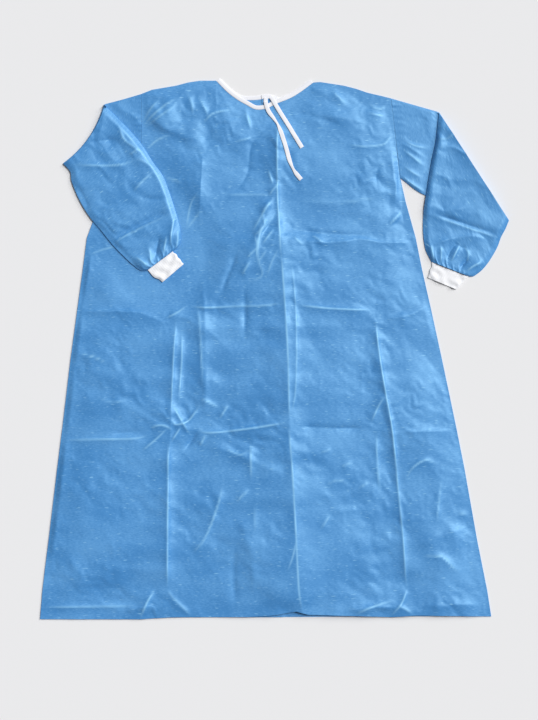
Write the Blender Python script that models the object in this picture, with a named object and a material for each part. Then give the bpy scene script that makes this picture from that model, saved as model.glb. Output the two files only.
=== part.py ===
"""Disposable surgical gown laid flat on a table, front side up, with both sleeves folded down.

Tables are in millimetres, seen from above: X runs across the gown, Y from the hem (low) to the neck
(high), and heights are above the table. Meshes are made in metres.
Left and right are those of a person looking down at the gown.
"""

import bpy
import bmesh
import numpy as np

MM = 0.001

# Driving dimensions, in millimetres
CLOTH = 1.1                  # wall of one layer of cloth
GAP = 0.3                    # clearance between layers and at seams
LAYER = CLOTH + GAP
KNIT = 1.3                   # wall of a cuff, without its ribs
RIB = 0.5                    # height of a cuff's ribs
TAPE_WIDTH = 9.0
TAPE = 1.3                   # thickness of the folded tape
BINDING_PROUD = 0.6          # how far the front binding stands above the panel
TIE_CLEARANCE = 0.8          # a tie's clearance over the waves of the panel under it
LOFT = 3.0                   # how high the front stands off the back in mid panel
HEM_LOFT = 1.6               # the same at the hem
NECK_LOFT = 1.8              # the same at the middle of the front neckline
BACK_OVERLAP_TOP = 26.0      # how far the back halves lap at the neck
BACK_OVERLAP_HEM = 60.0      # and at the hem
BACK_CENTRE_TOP = -15.0      # X of the back opening at the neck
BACK_CENTRE_HEM = -19.0      # and at the hem
BACK_OPENING_TOP_Y = 556.0
STEP_START = 3.0             # past the lap the upper back half is level for this run
STEP_END = 14.0              # and is down on the table after this one
HEM_RUN = 150.0              # run over which the front's loft grows from the hem
SIDE_RUN = 80.0              # the same from the sides
TOP_RUN = 90.0               # and from the shoulders and the neckline
FOLD_SIDE_RUN = 30.0         # run over which the front's folds come in from the sides
FOLD_TOP_RUN = 25.0          # and from the shoulders and the neckline
NECK_MIDDLE = (-19.0, 534.0)
NECK_REACH = (62.0, 60.0)    # how far the neckline's loft spreads, across and down
PRESSED_SHARE = 0.4          # share of the loft left under the left forearm
LAP_CLEAR_START = 14.0       # past the lap of the backs the front clears its step for this run
LAP_CLEAR_RUN = 40.0         # and comes down over this one
HEM_BEND = 120.0             # height over which the panels' rows bend to the hem line

# Colours of the materials, linear
GOWN_BLUE = (0.117, 0.342, 0.679, 1.0)
KNIT_WHITE = (0.86, 0.87, 0.90, 1.0)
TAPE_WHITE = (0.88, 0.89, 0.93, 1.0)

# Sections across the body, from the hem to mid armhole. Each row has the section's Y and the X of the
# left side, of the three long pressed folds, and of the right side.
# columns: Y, left side, left fold, centre fold, right fold, right side
BODY_SECTIONS = np.array((
    (-587, -516, -236, 61, 300, 476),
    (-529, -511, -236, 58, 300, 467),
    (-419, -497, -235, 50, 284, 445),
    (-261, -478, -233, 41, 271, 417),
    (-166, -466, -228, 35, 258, 398),
    (-23, -449, -222, 31, 232, 368),
    (87, -434, -213, 29, 223, 344),
    (175, -422, -189, 23, 217, 324),
    (245, -413, -171, 16, 214, 310),
    (324, -384, -160, 9, 212, 288),
    (377, -292, -156, 7, 207, 276),
    (461, -292.5, -145, 5, 170, 266.4),
    (562, -293, -127, -6, 83, 254.9),
), float)
LEFT_SIDE, LEFT_FOLD, CENTRE_FOLD, RIGHT_FOLD, RIGHT_SIDE = 1, 2, 3, 4, 5
HEM_Y = -587.0
UNDERARM_Y = 377.0
ARMHOLE_TOP_Y = 562.0

# columns: X, Y
HEM_LINE = ((-516, -593), (-296, -593), (-217, -588), (-59, -588), (-6, -584), (47, -575), (73, -582),
            (205, -586), (258, -588), (311, -584), (416, -586), (476, -587))
SHOULDER_LEFT = ((-293, 562), (-270, 571), (-217, 580), (-191, 587), (-164, 591), (-129, 591))
SHOULDER_RIGHT = ((85, 587), (100, 588), (126, 584), (152, 580), (179, 573), (205, 564), (232, 558),
                  (256, 552))
NECK_FRONT = ((-120, 588), (-101, 569), (-80, 553), (-59, 541), (-41, 532), (-19, 534), (1, 544),
              (31, 556), (53, 569), (76, 586))
NECK_BACK = ((-120, 588), (-100, 569.5), (-76, 555), (-46, 553), (-15, 556), (12, 550), (32, 556.5),
             (54, 569.5), (76, 586))

# Where the rows and columns of the panels' grids lie: heights above the hem up to the underarm, shares
# of the way from the underarm to the top line, and shares of the way from one long fold to the next.
FRONT_ROWS = (0, 16, 38, 58, 100, 168, 240, 300, 345, 380, 400, 414, 428, 450, 500, 564, 620, 655, 670,
              684, 700, 735, 775, 805, 820, 832, 848, 880, 911, 940, 964)
BACK_ROWS = (0, 58, 168, 326, 421, 564, 674, 762, 832, 911, 964)
ROWS_ABOVE_UNDERARM = (0.15, 0.3, 0.454, 0.6, 0.74, 0.87, 0.95, 1.0)
BACK_ROWS_ABOVE = (0.3, 0.6, 0.87, 1.0)
BACK_LEFT_COLUMNS = np.linspace(0, 1, 10)
BACK_RIGHT_COLUMNS = np.concatenate([[0.0, 0.5, 1.0], np.linspace(2, 3, 8)])
COLUMNS_BETWEEN_FOLDS = (0.0, 0.06, 0.16, 0.3, 0.5, 0.7, 0.84, 0.94)
BACK_HEM = ((-516, -591), (476, -586))

# Folds that stand up from the front panel, or sink where the height is negative.
# columns: name, height, width, route of (X, Y)
FRONT_FOLDS = (
    ("left long", 4.0, 16, ((-217, 56), (-228, -166), (-233, -261), (-236, -529))),
    ("left upper", 3.0, 14, ((-160, 333), (-160, 111), (-157, -102))),
    ("centre long", 5.0, 18, ((5, 507), (9, 324), (29, 96), (34, -142), (41, -261), (53, -459),
                              (61, -585))),
    ("right long", -2.2, 16, ((219, 166), (227, 8), (256, -142), (271, -261), (291, -498), (300, -534))),
    ("upper cross", 3.0, 11, ((34, 252), (122, 237), (309, 241))),
    ("middle cross", 3.0, 12, ((-433, 82), (-307, 85), (-235, 61), (-213, 82), (-186, 98), (34, 96),
                               (221, 85), (309, 80), (342, 96))),
    ("lower cross, left", 3.0, 12, ((-461, -199), (-307, -193), (-235, -166))),
    ("lower cross, middle", 4.0, 12, ((-171, -173), (-153, -182), (29, -162))),
    ("lower cross, right", -2.2, 12, ((45, -168), (210, -173))),
    ("lower cross, far right", 2.5, 12, ((254, -182), (397, -177))),
    ("lower crumple", 4.0, 10, ((-222, -128), (-204, -172), (-160, -160))),
    ("chest, from the right armhole", 2.0, 10, ((155, 468), (210, 459), (260, 468))),
    ("chest, from the left armhole", 2.5, 10, ((-286, 487), (-241, 531), (-197, 560))),
    ("chest diagonal", 3.0, 14, ((5, 324), (-54, 219), (-120, 105))),
    ("chest diagonal, short", 2.5, 11, ((-6, 274), (-37, 193), (-65, 142))),
    ("hem, left", 3.0, 9, ((-274, -588), (-236, -529), (-186, -582))),
    ("hem, right", 3.0, 9, ((188, -582), (300, -534), (258, -586))),
)

# Rings of each sleeve, from the armhole to the gathered end. A is the edge that runs from the
# shoulder, B the one that runs from the underarm. The bow pushes the ring's middle sideways.
# columns: name, A's X and Y, B's X and Y, bow
LEFT_SLEEVE_RINGS = (
    ("armhole", -293, 562, -292, 377, 0),
    ("upper arm", -334, 550, -380, 393, 4),
    ("fold", -376, 539, -466, 409, 14),
    ("forearm", -343, 507, -450, 391, 8),
    ("forearm", -316, 479, -447, 371, 3),
    ("forearm", -291, 449, -437, 344, 0),
    ("forearm", -268, 413, -422, 314, 0),
    ("elbow", -246, 382, -404, 287, 0),
    ("forearm", -233, 351, -382, 261, 0),
    ("forearm", -222, 318, -358, 231, 0),
    ("forearm", -212, 285, -338, 210, 0),
    ("wrist", -206, 256, -316, 189, 0),
    ("wrist", -208, 232, -296, 174, 0),
    ("gathered end", -222, 217, -281, 173, 0),
)
RIGHT_SLEEVE_RINGS = (
    ("armhole", 256, 552, 276, 377, 0),
    ("upper arm", 291, 542, 328, 340, 0),
    ("upper arm", 326, 532, 421, 311, 0),
    ("fold", 361, 522, 515, 284, 0),
    ("forearm", 357, 487, 507, 265, 0),
    ("forearm", 353, 454, 498, 248, 0),
    ("forearm", 345, 417, 490, 226, 0),
    ("elbow", 339, 382, 479, 206, 0),
    ("forearm", 333, 344, 468, 189, 0),
    ("forearm", 327, 302, 456, 175, 0),
    ("wrist", 326, 258, 445, 166, 0),
    ("wrist", 331, 221, 437, 161, 0),
    ("gathered end", 344, 193, 428, 160, 0),
)
ROLL_STEPS = 5               # rings over each sleeve's fold
ACROSS_SLEEVE = np.linspace(0, 1, 29)
SLEEVE_LOFT = 2.0            # how high the upper layer of a forearm stands off the lower one
GATHERS = 7                  # waves across the gathered end of a sleeve
GATHER_HEIGHT = 2.4
SLEEVE_LOFT_RUN = 40.0       # run over which a forearm's loft grows from its edges
GATHER_RUN = 65.0            # how far from the cuff the gathers die out
GATHER_EDGE_RUN = 8.0        # run over which the gathers come in from the sleeve's edges
SLEEVE_FOLD_RUN = 14.0       # and the same for its folds
EDGE_ROUND = 1.25            # how far a layer's outer face stops short of the sleeve's edge
INNER_ROUND = 0.4            # and its inner face short of the inside of that edge
DRAPE_START = 25.0           # how far past the upper arm a forearm starts to come down to the table
DRAPE = 30.0                 # and the run over which it does

LEFT_SLEEVE_FOLDS = (
    ("wrist crease", 3.0, 8, ((-357, 231), (-341, 251), (-232, 306))),
    ("elbow facet", 2.0, 12, ((-447, 401), (-370, 399), (-300, 420))),
    ("along the inner edge", 1.8, 7, ((-345, 497), (-296, 437), (-262, 388))),
)
RIGHT_SLEEVE_FOLDS = (
    ("forearm crease", 3.0, 8, ((355, 296), (497, 250))),
    ("wrist arc", 2.0, 7, ((332, 237), (382, 244), (433, 250), (475, 241))),
    ("elbow crease", 2.0, 7, ((362, 440), (388, 446), (427, 426), (460, 410))),
)

# Rings of the cuffs past the seam, with A and B as on the sleeves.
# columns: name, A's X and Y, B's X and Y
LEFT_CUFF_RINGS = (("middle", -212, 203, -268, 161), ("end", -200, 187, -246, 148))
RIGHT_CUFF_RINGS = (("middle", 342, 175, 412, 146), ("end", 337, 158, 399, 132))
CUFF_INSET = 2.0             # how far the cuff's edges lie inside the sleeve's at the seam
CUFF_RIBS = 14               # ribs across the upper side of a cuff
CUFF_EDGE_ROUND = 1.4        # how far a cuff's layer stops short of its edge

# The binding's section, from the panel's edge outward: shares of its width and of its thickness
BINDING_ACROSS = np.array((0.0, 0.08, 0.85, 1.0))
BINDING_THICK = np.array((0.8, 1.0, 1.0, 0.6))

TIE_SAG = 0.6                # how far a tie's edges may lie below the highest point across it

# The ties' middle lines. Each row says how much of the tape's width faces up and what it lies on.
# columns: X, Y, share of the width, bed
TIE_RIGHT = (
    (-9, 556, 1.0, "back"),
    (-5, 550, 1.0, "binding"),
    (0, 541, 1.0, "binding"),
    (6, 531, 1.0, "binding"),
    (14, 518, 1.0, "front"),
    (29, 494, 1.0, "front"),
    (44, 469, 1.0, "front"),
    (60, 443, 1.0, "front"),
)
TIE_LEFT = (
    (-20, 553, 1.0, "back"),
    (-20, 547, 1.0, "back"),
    (-19.5, 542, 1.0, "binding"),
    (-17, 532, 1.0, "binding"),
    (-12, 521, 1.0, "binding"),
    (-3, 509, 0.8, "front"),
    (6, 495, 0.55, "front"),
    (14, 476, 1.0, "front"),
    (24, 446, 1.0, "front"),
    (32, 417, 1.0, "front"),
    (40, 397, 0.6, "front"),
    (48, 385, 1.0, "front"),
    (58, 373, 1.0, "front"),
)

# The left forearm's middle line, half its width, inside which the front lies flat, and the run over
# which the front rises again beside it.
FOREARM_AXIS = ((-384, 439), (-252, 208))
FOREARM_REACH = 95.0
FOREARM_RUN = 60.0

SHARP_ANGLE = 0.9            # edges that turn more than this many radians are shaded sharp


def smooth(value):
    """0 below 0, 1 above 1, and an S curve between."""
    t = np.clip(value, 0.0, 1.0)
    return t * t * (3 - 2 * t)


def line_at(points, x):
    """Y of a line of (X, Y) points at each x."""
    table = np.asarray(points, float)
    return np.interp(x, table[:, 0], table[:, 1])


def section_at(column, y):
    """X of one column of BODY_SECTIONS at each y."""
    return np.interp(y, BODY_SECTIONS[:, 0], BODY_SECTIONS[:, column])


def smooth_route(points, count):
    """count points on a Catmull-Rom curve through the given ones, evenly spaced in the parameter."""
    p = np.asarray(points, float)
    p = np.vstack([2 * p[0] - p[1], p, 2 * p[-1] - p[-2]])
    s = np.linspace(0, len(p) - 3 - 1e-9, count)
    i = s.astype(int)
    t = (s - i)[:, None]
    a, b, c, d = p[i], p[i + 1], p[i + 2], p[i + 3]
    square = (2 * a - 5 * b + 4 * c - d) * t ** 2
    cube = (3 * b - a - 3 * c + d) * t ** 3
    return 0.5 * (2 * b + (c - a) * t + square + cube)


def route_distance(x, y, route):
    """Distance from each (x, y) to a route, and how far along the route that is, in millimetres."""
    best = np.full(np.shape(x), np.inf)
    along = np.zeros(np.shape(x))
    done = 0.0
    for (x0, y0), (x1, y1) in zip(route[:-1], route[1:]):
        length = np.hypot(x1 - x0, y1 - y0)
        ux, uy = (x1 - x0) / length, (y1 - y0) / length
        s = np.clip((x - x0) * ux + (y - y0) * uy, 0, length)
        d = np.hypot(x - x0 - s * ux, y - y0 - s * uy)
        nearer = d < best
        best = np.where(nearer, d, best)
        along = np.where(nearer, done + s, along)
        done += length
    return best, along, done


def folds_height(x, y, folds):
    """Sum of the folds' heights: each is height * exp(-distance / width), dying out at its ends."""
    total = np.zeros(np.shape(x))
    for _, height, width, route in folds:
        distance, along, length = route_distance(x, y, route)
        ends = smooth((np.minimum(along, length - along) + width) / (2 * width))
        total += height * ends * np.exp(-distance / width)
    return total


def neck_seam():
    """The front panel's neckline: the tape's middle line moved half a tape towards the panel."""
    middle = smooth_route(NECK_FRONT, 37)
    along = np.gradient(middle, axis=0)
    along /= np.linalg.norm(along, axis=1)[:, None]
    towards_panel = np.stack([along[:, 1], -along[:, 0]], 1)
    return middle + towards_panel * (TAPE_WIDTH / 2 + GAP)


def between_shoulders(neckline):
    """Shoulder, neckline and shoulder as one line of (X, Y), from left to right."""
    inside = (neckline[:, 0] > SHOULDER_LEFT[-1][0] + 1) & (neckline[:, 0] < SHOULDER_RIGHT[0][0] - 1)
    return np.vstack([SHOULDER_LEFT, neckline[inside], SHOULDER_RIGHT])


FRONT_TOP = between_shoulders(neck_seam())
BACK_TOP = between_shoulders(smooth_route(NECK_BACK, 25) - (0, TAPE_WIDTH / 2 + GAP))


def back_share(y):
    """How far up the back opening each y is: 0 at the hem, 1 at the neck."""
    return (y - HEM_Y) / (BACK_OPENING_TOP_Y - HEM_Y)


def back_centre(y):
    """X of the back opening's middle at each y."""
    return BACK_CENTRE_HEM + back_share(y) * (BACK_CENTRE_TOP - BACK_CENTRE_HEM)


def half_lap(y):
    """Half the overlap of the back halves at each y."""
    return (BACK_OVERLAP_HEM + back_share(y) * (BACK_OVERLAP_TOP - BACK_OVERLAP_HEM)) / 2


def front_rise(x, y):
    """Height of the front above its level at the seams: its loft and its folds. It lies flatter under
    the left forearm, and always clears the lap of the back halves."""
    side = np.minimum(x - section_at(LEFT_SIDE, y), section_at(RIGHT_SIDE, y) - x)
    top = line_at(FRONT_TOP, x) - y
    hem = y - line_at(HEM_LINE, x)
    loft = HEM_LOFT + (LOFT - HEM_LOFT) * smooth(hem / HEM_RUN)
    loft = loft * smooth(side / SIDE_RUN) * smooth(top / TOP_RUN)
    from_neck = ((x - NECK_MIDDLE[0]) / NECK_REACH[0]) ** 2 + ((y - NECK_MIDDLE[1]) / NECK_REACH[1]) ** 2
    neck = NECK_LOFT * np.exp(-from_neck)
    free = smooth((route_distance(x, y, FOREARM_AXIS)[0] - FOREARM_REACH) / FOREARM_RUN)
    folds = folds_height(x, y, FRONT_FOLDS) * smooth(side / FOLD_SIDE_RUN) * smooth(top / FOLD_TOP_RUN)
    rise = np.maximum(loft, neck) * (PRESSED_SHARE + (1 - PRESSED_SHARE) * free) + folds * free
    past_lap = np.abs(x - back_centre(y)) - half_lap(y)
    clears_lap = (LAYER + GAP / 2) * smooth(1 - (past_lap - LAP_CLEAR_START) / LAP_CLEAR_RUN)
    return np.maximum(np.maximum(rise, clears_lap), 0.0)


def front_height(x, y):
    """Height of the front panel's upper face."""
    return LAYER + CLOTH + front_rise(x, y)


def panel_grid(anchors, columns, heights, shares, top_line, hem_line):
    """X and Y of a body panel's grid. Columns are shares of the way between the anchor lines. Rows are
    straight up to the underarm, and bend to the hem line near the hem; above it they are shares of the
    way to the top line."""
    spans = np.arange(len(anchors))

    def across(y):
        lines = np.array([anchor(y) for anchor in anchors])
        return np.array([np.interp(c, spans, lines[:, k]) for k, c in enumerate(columns)])

    xs, ys = [], []
    for height in heights:
        x = across(np.full(len(columns), HEM_Y + height))
        to_hem = (line_at(hem_line, x) - HEM_Y) * (1 - smooth(height / HEM_BEND))
        xs.append(x)
        ys.append(HEM_Y + height + to_hem)
    top_y = line_at(top_line, across(np.full(len(columns), ARMHOLE_TOP_Y)))
    for share in shares:
        x = across(UNDERARM_Y + share * (top_y - UNDERARM_Y))
        xs.append(x)
        ys.append(UNDERARM_Y + share * (line_at(top_line, x) - UNDERARM_Y))
    return np.array(xs), np.array(ys)


def material(name, colour, roughness):
    """A Principled material of one colour."""
    made = bpy.data.materials.new(name)
    made.use_nodes = True
    shader = made.node_tree.nodes["Principled BSDF"]
    shader.inputs["Base Color"].default_value = colour
    shader.inputs["Roughness"].default_value = roughness
    shader.inputs["Metallic"].default_value = 0.0
    made.diffuse_color = colour
    return made


def solid(name, vertices, faces, finish):
    """An object from points in millimetres and their faces, its origin on the table under its middle."""
    points = np.asarray(vertices) * MM
    middle = (points.min(0) + points.max(0)) / 2 * (1, 1, 0)
    mesh = bpy.data.meshes.new(name)
    mesh.from_pydata((points - middle).tolist(), [], faces.tolist())
    work = bmesh.new()
    work.from_mesh(mesh)
    bmesh.ops.recalc_face_normals(work, faces=work.faces)
    work.to_mesh(mesh)
    work.free()
    mesh.shade_smooth()
    mesh.set_sharp_from_angle(angle=SHARP_ANGLE)
    mesh.materials.append(finish)
    made = bpy.data.objects.new(name, mesh)
    bpy.context.scene.collection.objects.link(made)
    made.parent = gown
    made.location = middle
    return made


def grid_faces(index, closed=False):
    """Quads between neighbouring rows and columns of a grid of vertex numbers."""
    here = index if closed else index[:, :-1]
    beside = np.roll(index, -1, 1) if closed else index[:, 1:]
    return np.stack([here[:-1], beside[:-1], beside[1:], here[1:]], -1).reshape(-1, 4)


def wall(name, x, y, top, under, finish):
    """A closed wall: a grid of upper points, the same grid at the lower face's heights, and a rim."""
    upper = np.stack([x, y, top], -1).reshape(-1, 3)
    lower = np.stack([x, y, under], -1).reshape(-1, 3)
    index = np.arange(x.size).reshape(x.shape)
    border = np.concatenate([index[0, :-1], index[:-1, -1], index[-1, :0:-1], index[:0:-1, 0]])
    after = np.roll(border, -1)
    rim = np.stack([after, border, border + x.size, after + x.size], -1)
    faces = np.concatenate([grid_faces(index), grid_faces(index)[:, ::-1] + x.size, rim])
    return solid(name, np.concatenate([upper, lower]), faces, finish)


def tube(name, outer, inner, finish):
    """A closed wall between two sets of rings, open along its middle: outer, inner and two end rims."""
    rings, around = outer.shape[:2]
    index = np.arange(rings * around).reshape(rings, around)
    inside = index + rings * around
    first = grid_faces(np.stack([index[0], inside[0]]), closed=True)[:, ::-1]
    last = grid_faces(np.stack([index[-1], inside[-1]]), closed=True)
    faces = np.concatenate([grid_faces(index, True), grid_faces(inside, True)[:, ::-1], first, last])
    return solid(name, np.concatenate([outer.reshape(-1, 3), inner.reshape(-1, 3)]), faces, finish)


def make_front(finish):
    """The front panel, one wall with the loft and the folds of the cloth in both faces."""
    lines = (LEFT_SIDE, LEFT_FOLD, CENTRE_FOLD, RIGHT_FOLD, RIGHT_SIDE)
    anchors = [lambda y, line=line: section_at(line, y) for line in lines]
    columns = np.concatenate([span + np.array(COLUMNS_BETWEEN_FOLDS) for span in range(4)] + [[4.0]])
    x, y = panel_grid(anchors, columns, FRONT_ROWS, ROWS_ABOVE_UNDERARM, FRONT_TOP, HEM_LINE)
    at_armhole = np.where(y[:, 0] > UNDERARM_Y - 1, GAP / 2, 0)
    x[:, 0] += at_armhole
    x[:, -1] -= at_armhole
    top = front_height(x, y)
    per_span = len(COLUMNS_BETWEEN_FOLDS)
    neckline = np.stack([x[-1], y[-1]], -1)[per_span:3 * per_span + 1]
    return wall("front", x, y, top, top - CLOTH, finish), neckline


def make_back(name, side, finish):
    """Half of the back, flat on the table. The right half steps up onto the left one where they lap."""
    if side < 0:
        anchors = (lambda y: section_at(LEFT_SIDE, y), lambda y: back_centre(y) + half_lap(y))
        columns = BACK_LEFT_COLUMNS
        lifted = np.zeros(len(columns))
    else:
        anchors = (lambda y: back_centre(y) - half_lap(y),
                   lambda y: back_centre(y) + half_lap(y) + STEP_START,
                   lambda y: back_centre(y) + half_lap(y) + STEP_END,
                   lambda y: section_at(RIGHT_SIDE, y))
        columns = BACK_RIGHT_COLUMNS
        lifted = np.where(columns <= 1, LAYER, 0.0)
    x, y = panel_grid(anchors, columns, BACK_ROWS, BACK_ROWS_ABOVE, BACK_TOP, BACK_HEM)
    at_armhole = np.where(y[:, 0] > UNDERARM_Y - 1, GAP / 2, 0)
    edge = 0 if side < 0 else -1
    x[:, edge] -= side * at_armhole
    under = np.broadcast_to(lifted, x.shape)
    made = wall(name, x, y, under + CLOTH, under, finish)
    neck = (x[-1] > SHOULDER_LEFT[-1][0] + 1) & (x[-1] < SHOULDER_RIGHT[0][0] - 1)
    return made, np.stack([x[-1], y[-1], under[-1]], -1)[neck]


def ring_points(a, b, bow, across, inset, side):
    """Plan points of one ring of a flattened tube, from edge A to edge B, bowed like a parabola, and the
    direction in which its fold turns outward."""
    a, b = np.asarray(a, float), np.asarray(b, float)
    length = np.linalg.norm(b - a)
    along = (b - a) / length
    normal = np.array([-along[1], along[0]])
    s = inset + across * (length - 2 * inset)
    share = s / length
    points = a + along * s[:, None] + normal * (4 * bow * share * (1 - share))[:, None]
    return points, side * normal, np.minimum(s, length - s)


def flat_loop(a, b, bow, levels, insets, side):
    """One ring round a flattened tube as rows of (X, Y, level, distance from the nearer edge), and its
    outward direction. It runs over the lower layer from A to B, round edge B, back over the upper
    layer, and round edge A."""
    low, high = levels
    layer_inset, edge_inset = insets
    layer, outward, from_edge = ring_points(a, b, bow, ACROSS_SLEEVE, layer_inset, side)
    edges, _, _ = ring_points(a, b, bow, np.array([0.0, 1.0]), edge_inset, side)
    count = len(layer)
    between = [(low + high) / 2]
    level = np.concatenate([np.full(count, low), between, np.full(count, high), between])
    plan = np.concatenate([layer, edges[1:], layer[::-1], edges[:1]])
    margin = np.concatenate([from_edge, [0.0], from_edge[::-1], [0.0]])
    return np.column_stack([plan, level, margin]), outward


def forearm_relief(x, y, from_edge, to_end, share, folds):
    """Height added to a forearm's upper layer: its loft, its folds, and the gathers at the cuff, which
    are waves across the ring that die out away from the seam."""
    loft = SLEEVE_LOFT * smooth(from_edge / SLEEVE_LOFT_RUN)
    waves = GATHER_HEIGHT * (0.5 - 0.5 * np.cos(2 * np.pi * GATHERS * share))
    gathers = waves * smooth(1 - to_end / GATHER_RUN) * smooth(from_edge / GATHER_EDGE_RUN)
    return loft + gathers + folds_height(x, y, folds) * smooth(from_edge / SLEEVE_FOLD_RUN)


def make_sleeve(name, side, rings, folds, lift, finish):
    """A sleeve: a flattened tube that leaves the armhole, rolls over at its fold, and comes back over
    itself. A level above the table before the fold becomes as much below the top of the stack after
    it, so the layer that lay on the table ends up on top."""
    middle = 2 * LAYER - GAP / 2
    fold = [row[0] for row in rings].index("fold")
    turns = np.concatenate([np.zeros(fold), np.linspace(0, np.pi, ROLL_STEPS + 2),
                            np.full(len(rings) - fold - 1, np.pi)])
    rows = rings[:fold] + (rings[fold],) * (ROLL_STEPS + 2) + rings[fold + 1:]
    ends = np.array([((r[1] + r[3]) / 2, (r[2] + r[4]) / 2) for r in rows])
    to_end = np.linalg.norm(ends - ends[-1], axis=1)
    share = np.concatenate([ACROSS_SLEEVE, [1.0], ACROSS_SLEEVE[::-1], [0.0]])
    walls = []
    for levels, insets in (((0.0, 2 * LAYER - GAP), (EDGE_ROUND, 0.0)),
                           ((CLOTH, LAYER), (CLOTH + INNER_ROUND, CLOTH))):
        loops = []
        for row, turn, left in zip(rows, turns, to_end):
            _, ax, ay, bx, by, bow = row
            loop, outward = flat_loop((ax, ay), (bx, by), bow, levels, insets, side)
            plan, level, margin = loop[:, :2], loop[:, 2], loop[:, 3]
            if row[0] == "fold":
                plan = plan - outward * middle
            if row[0] == "armhole":
                plan = plan + (side * GAP / 2, 0)
            plan = plan + outward * ((middle - level) * np.sin(turn))[:, None]
            height = middle - (middle - level) * np.cos(turn)
            if turn == np.pi and row[0] != "fold":
                relief = forearm_relief(plan[:, 0], plan[:, 1], margin, left, share, folds)
                on_top = np.arange(len(level)) < len(ACROSS_SLEEVE)
                height = height + lift(plan[:, 0], plan[:, 1]) + relief * on_top
            loops.append(np.column_stack([plan, height]))
        walls.append(np.array(loops))
    return tube(name, walls[0], walls[1], finish)


def left_lift(x, y):
    """How much the front panel's rise lifts the left forearm that lies on it."""
    return front_rise(x, y) + GAP * smooth((x - section_at(LEFT_SIDE, y)) / 40)


def right_lift(x, y):
    """The right forearm comes down to the table past the lower edge of the upper arm beneath it."""
    lower_edge = [(row[3], row[4]) for row in RIGHT_SLEEVE_RINGS[:4]]
    past = line_at(lower_edge, x) - y
    return -2 * LAYER * smooth((past - DRAPE_START) / DRAPE)


def make_cuff(name, side, sleeve_rings, rings, bed, finish):
    """A ribbed knit tube laid flat. Its first ring follows the sleeve's end, a seam's gap away."""
    _, ax, ay, bx, by, _ = sleeve_rings[-1]
    a, b = np.array((ax, ay), float), np.array((bx, by), float)
    along = (b - a) / np.linalg.norm(b - a)
    away = np.array([-along[1], along[0]]) * side * -1
    first = (a + along * CUFF_INSET + away * GAP, b - along * CUFF_INSET + away * GAP)
    pairs = [first] + [((r[1], r[2]), (r[3], r[4])) for r in rings]
    across = np.linspace(0, 1, 2 * CUFF_RIBS + 1)
    rib = RIB * (np.arange(len(across)) % 2)
    outer, inner = [], []
    for pair in pairs:
        for loops, ribs, levels, layer_inset, edge_inset in (
                (outer, rib, (RIB, RIB + 2 * KNIT + GAP), CUFF_EDGE_ROUND, 0.0),
                (inner, rib * 0, (RIB + KNIT, RIB + KNIT + GAP), KNIT + INNER_ROUND, KNIT)):
            layer, _, _ = ring_points(*pair, 0, across, layer_inset, side)
            edges, _, _ = ring_points(*pair, 0, np.array([0.0, 1.0]), edge_inset, side)
            middle = sum(levels) / 2
            plan = np.concatenate([layer, edges[1:], layer[::-1], edges[:1]])
            level = np.concatenate([levels[0] - ribs, [middle], levels[1] + ribs[::-1], [middle]])
            loops.append(np.column_stack([plan, level + bed(plan[:, 0], plan[:, 1])]))
    return tube(name, np.array(outer), np.array(inner), finish)


def make_binding(name, seam, under, thick, width, finish):
    """A strip of folded tape along a neckline's own points, moved a seam's gap off the panel's edge. Its
    section is a rectangle with its free edge rounded down."""
    along = np.gradient(seam, axis=0)
    along /= np.linalg.norm(along, axis=1)[:, None]
    off_panel = np.stack([-along[:, 1], along[:, 0]], 1)
    across = GAP + width * BINDING_ACROSS
    x = seam[:, :1] + off_panel[:, :1] * across
    y = seam[:, 1:] + off_panel[:, 1:] * across
    low = under(x, y)
    high = low + thick * BINDING_THICK
    return wall(name, x, y, high, low, finish)


def make_tie(name, rows, finish):
    """A free end of the tape, laid over what each row of its table names."""
    middle = np.array([row[:2] for row in rows], float)
    along = np.gradient(middle, axis=0)
    along /= np.linalg.norm(along, axis=1)[:, None]
    beside = np.stack([along[:, 1], -along[:, 0]], 1)
    facing = np.array([row[2] for row in rows])
    across = np.array((-0.5, 0.0, 0.5)) * TAPE_WIDTH
    x = middle[:, :1] + beside[:, :1] * across * facing[:, None]
    y = middle[:, 1:] + beside[:, 1:] * across * facing[:, None]
    on_front = front_height(x, y) + TIE_CLEARANCE
    beds = {"back": np.full(x.shape, 2 * LAYER), "binding": on_front + BINDING_PROUD, "front": on_front}
    bed = np.array([beds[row[3]][i] for i, row in enumerate(rows)])
    bed = np.maximum(bed, bed.max(1)[:, None] - TIE_SAG)
    return wall(name, x, y, bed + TAPE, bed, finish)


for old in list(bpy.data.objects):
    bpy.data.objects.remove(old, do_unlink=True)

gown = bpy.data.objects.new("gown", None)
bpy.context.scene.collection.objects.link(gown)

blue = material("gown_cloth", GOWN_BLUE, 0.55)
knit = material("cuff_knit", KNIT_WHITE, 0.9)
tape = material("neck_tape", TAPE_WHITE, 0.7)

_, front_neck = make_front(blue)
_, back_neck_left = make_back("back_left", -1, blue)
_, back_neck_right = make_back("back_right", 1, blue)
make_sleeve("sleeve_left", -1, LEFT_SLEEVE_RINGS, LEFT_SLEEVE_FOLDS, left_lift, blue)
make_sleeve("sleeve_right", 1, RIGHT_SLEEVE_RINGS, RIGHT_SLEEVE_FOLDS, right_lift, blue)
make_cuff("cuff_left", -1, LEFT_SLEEVE_RINGS, LEFT_CUFF_RINGS,
          lambda x, y: 2 * LAYER + front_rise(x, y), knit)
make_cuff("cuff_right", 1, RIGHT_SLEEVE_RINGS, RIGHT_CUFF_RINGS,
          lambda x, y: np.zeros(np.shape(x)), knit)
make_binding("neck_binding_front", front_neck, lambda x, y: front_height(x, y) - CLOTH,
             CLOTH + BINDING_PROUD, TAPE_WIDTH, tape)
for back_name, line in (("neck_binding_back_left", back_neck_left),
                        ("neck_binding_back_right", back_neck_right)):
    make_binding(back_name, line[:, :2], lambda x, y, levels=line[:, 2:]: levels + 0 * x, CLOTH,
                 TAPE_WIDTH, tape)
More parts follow.
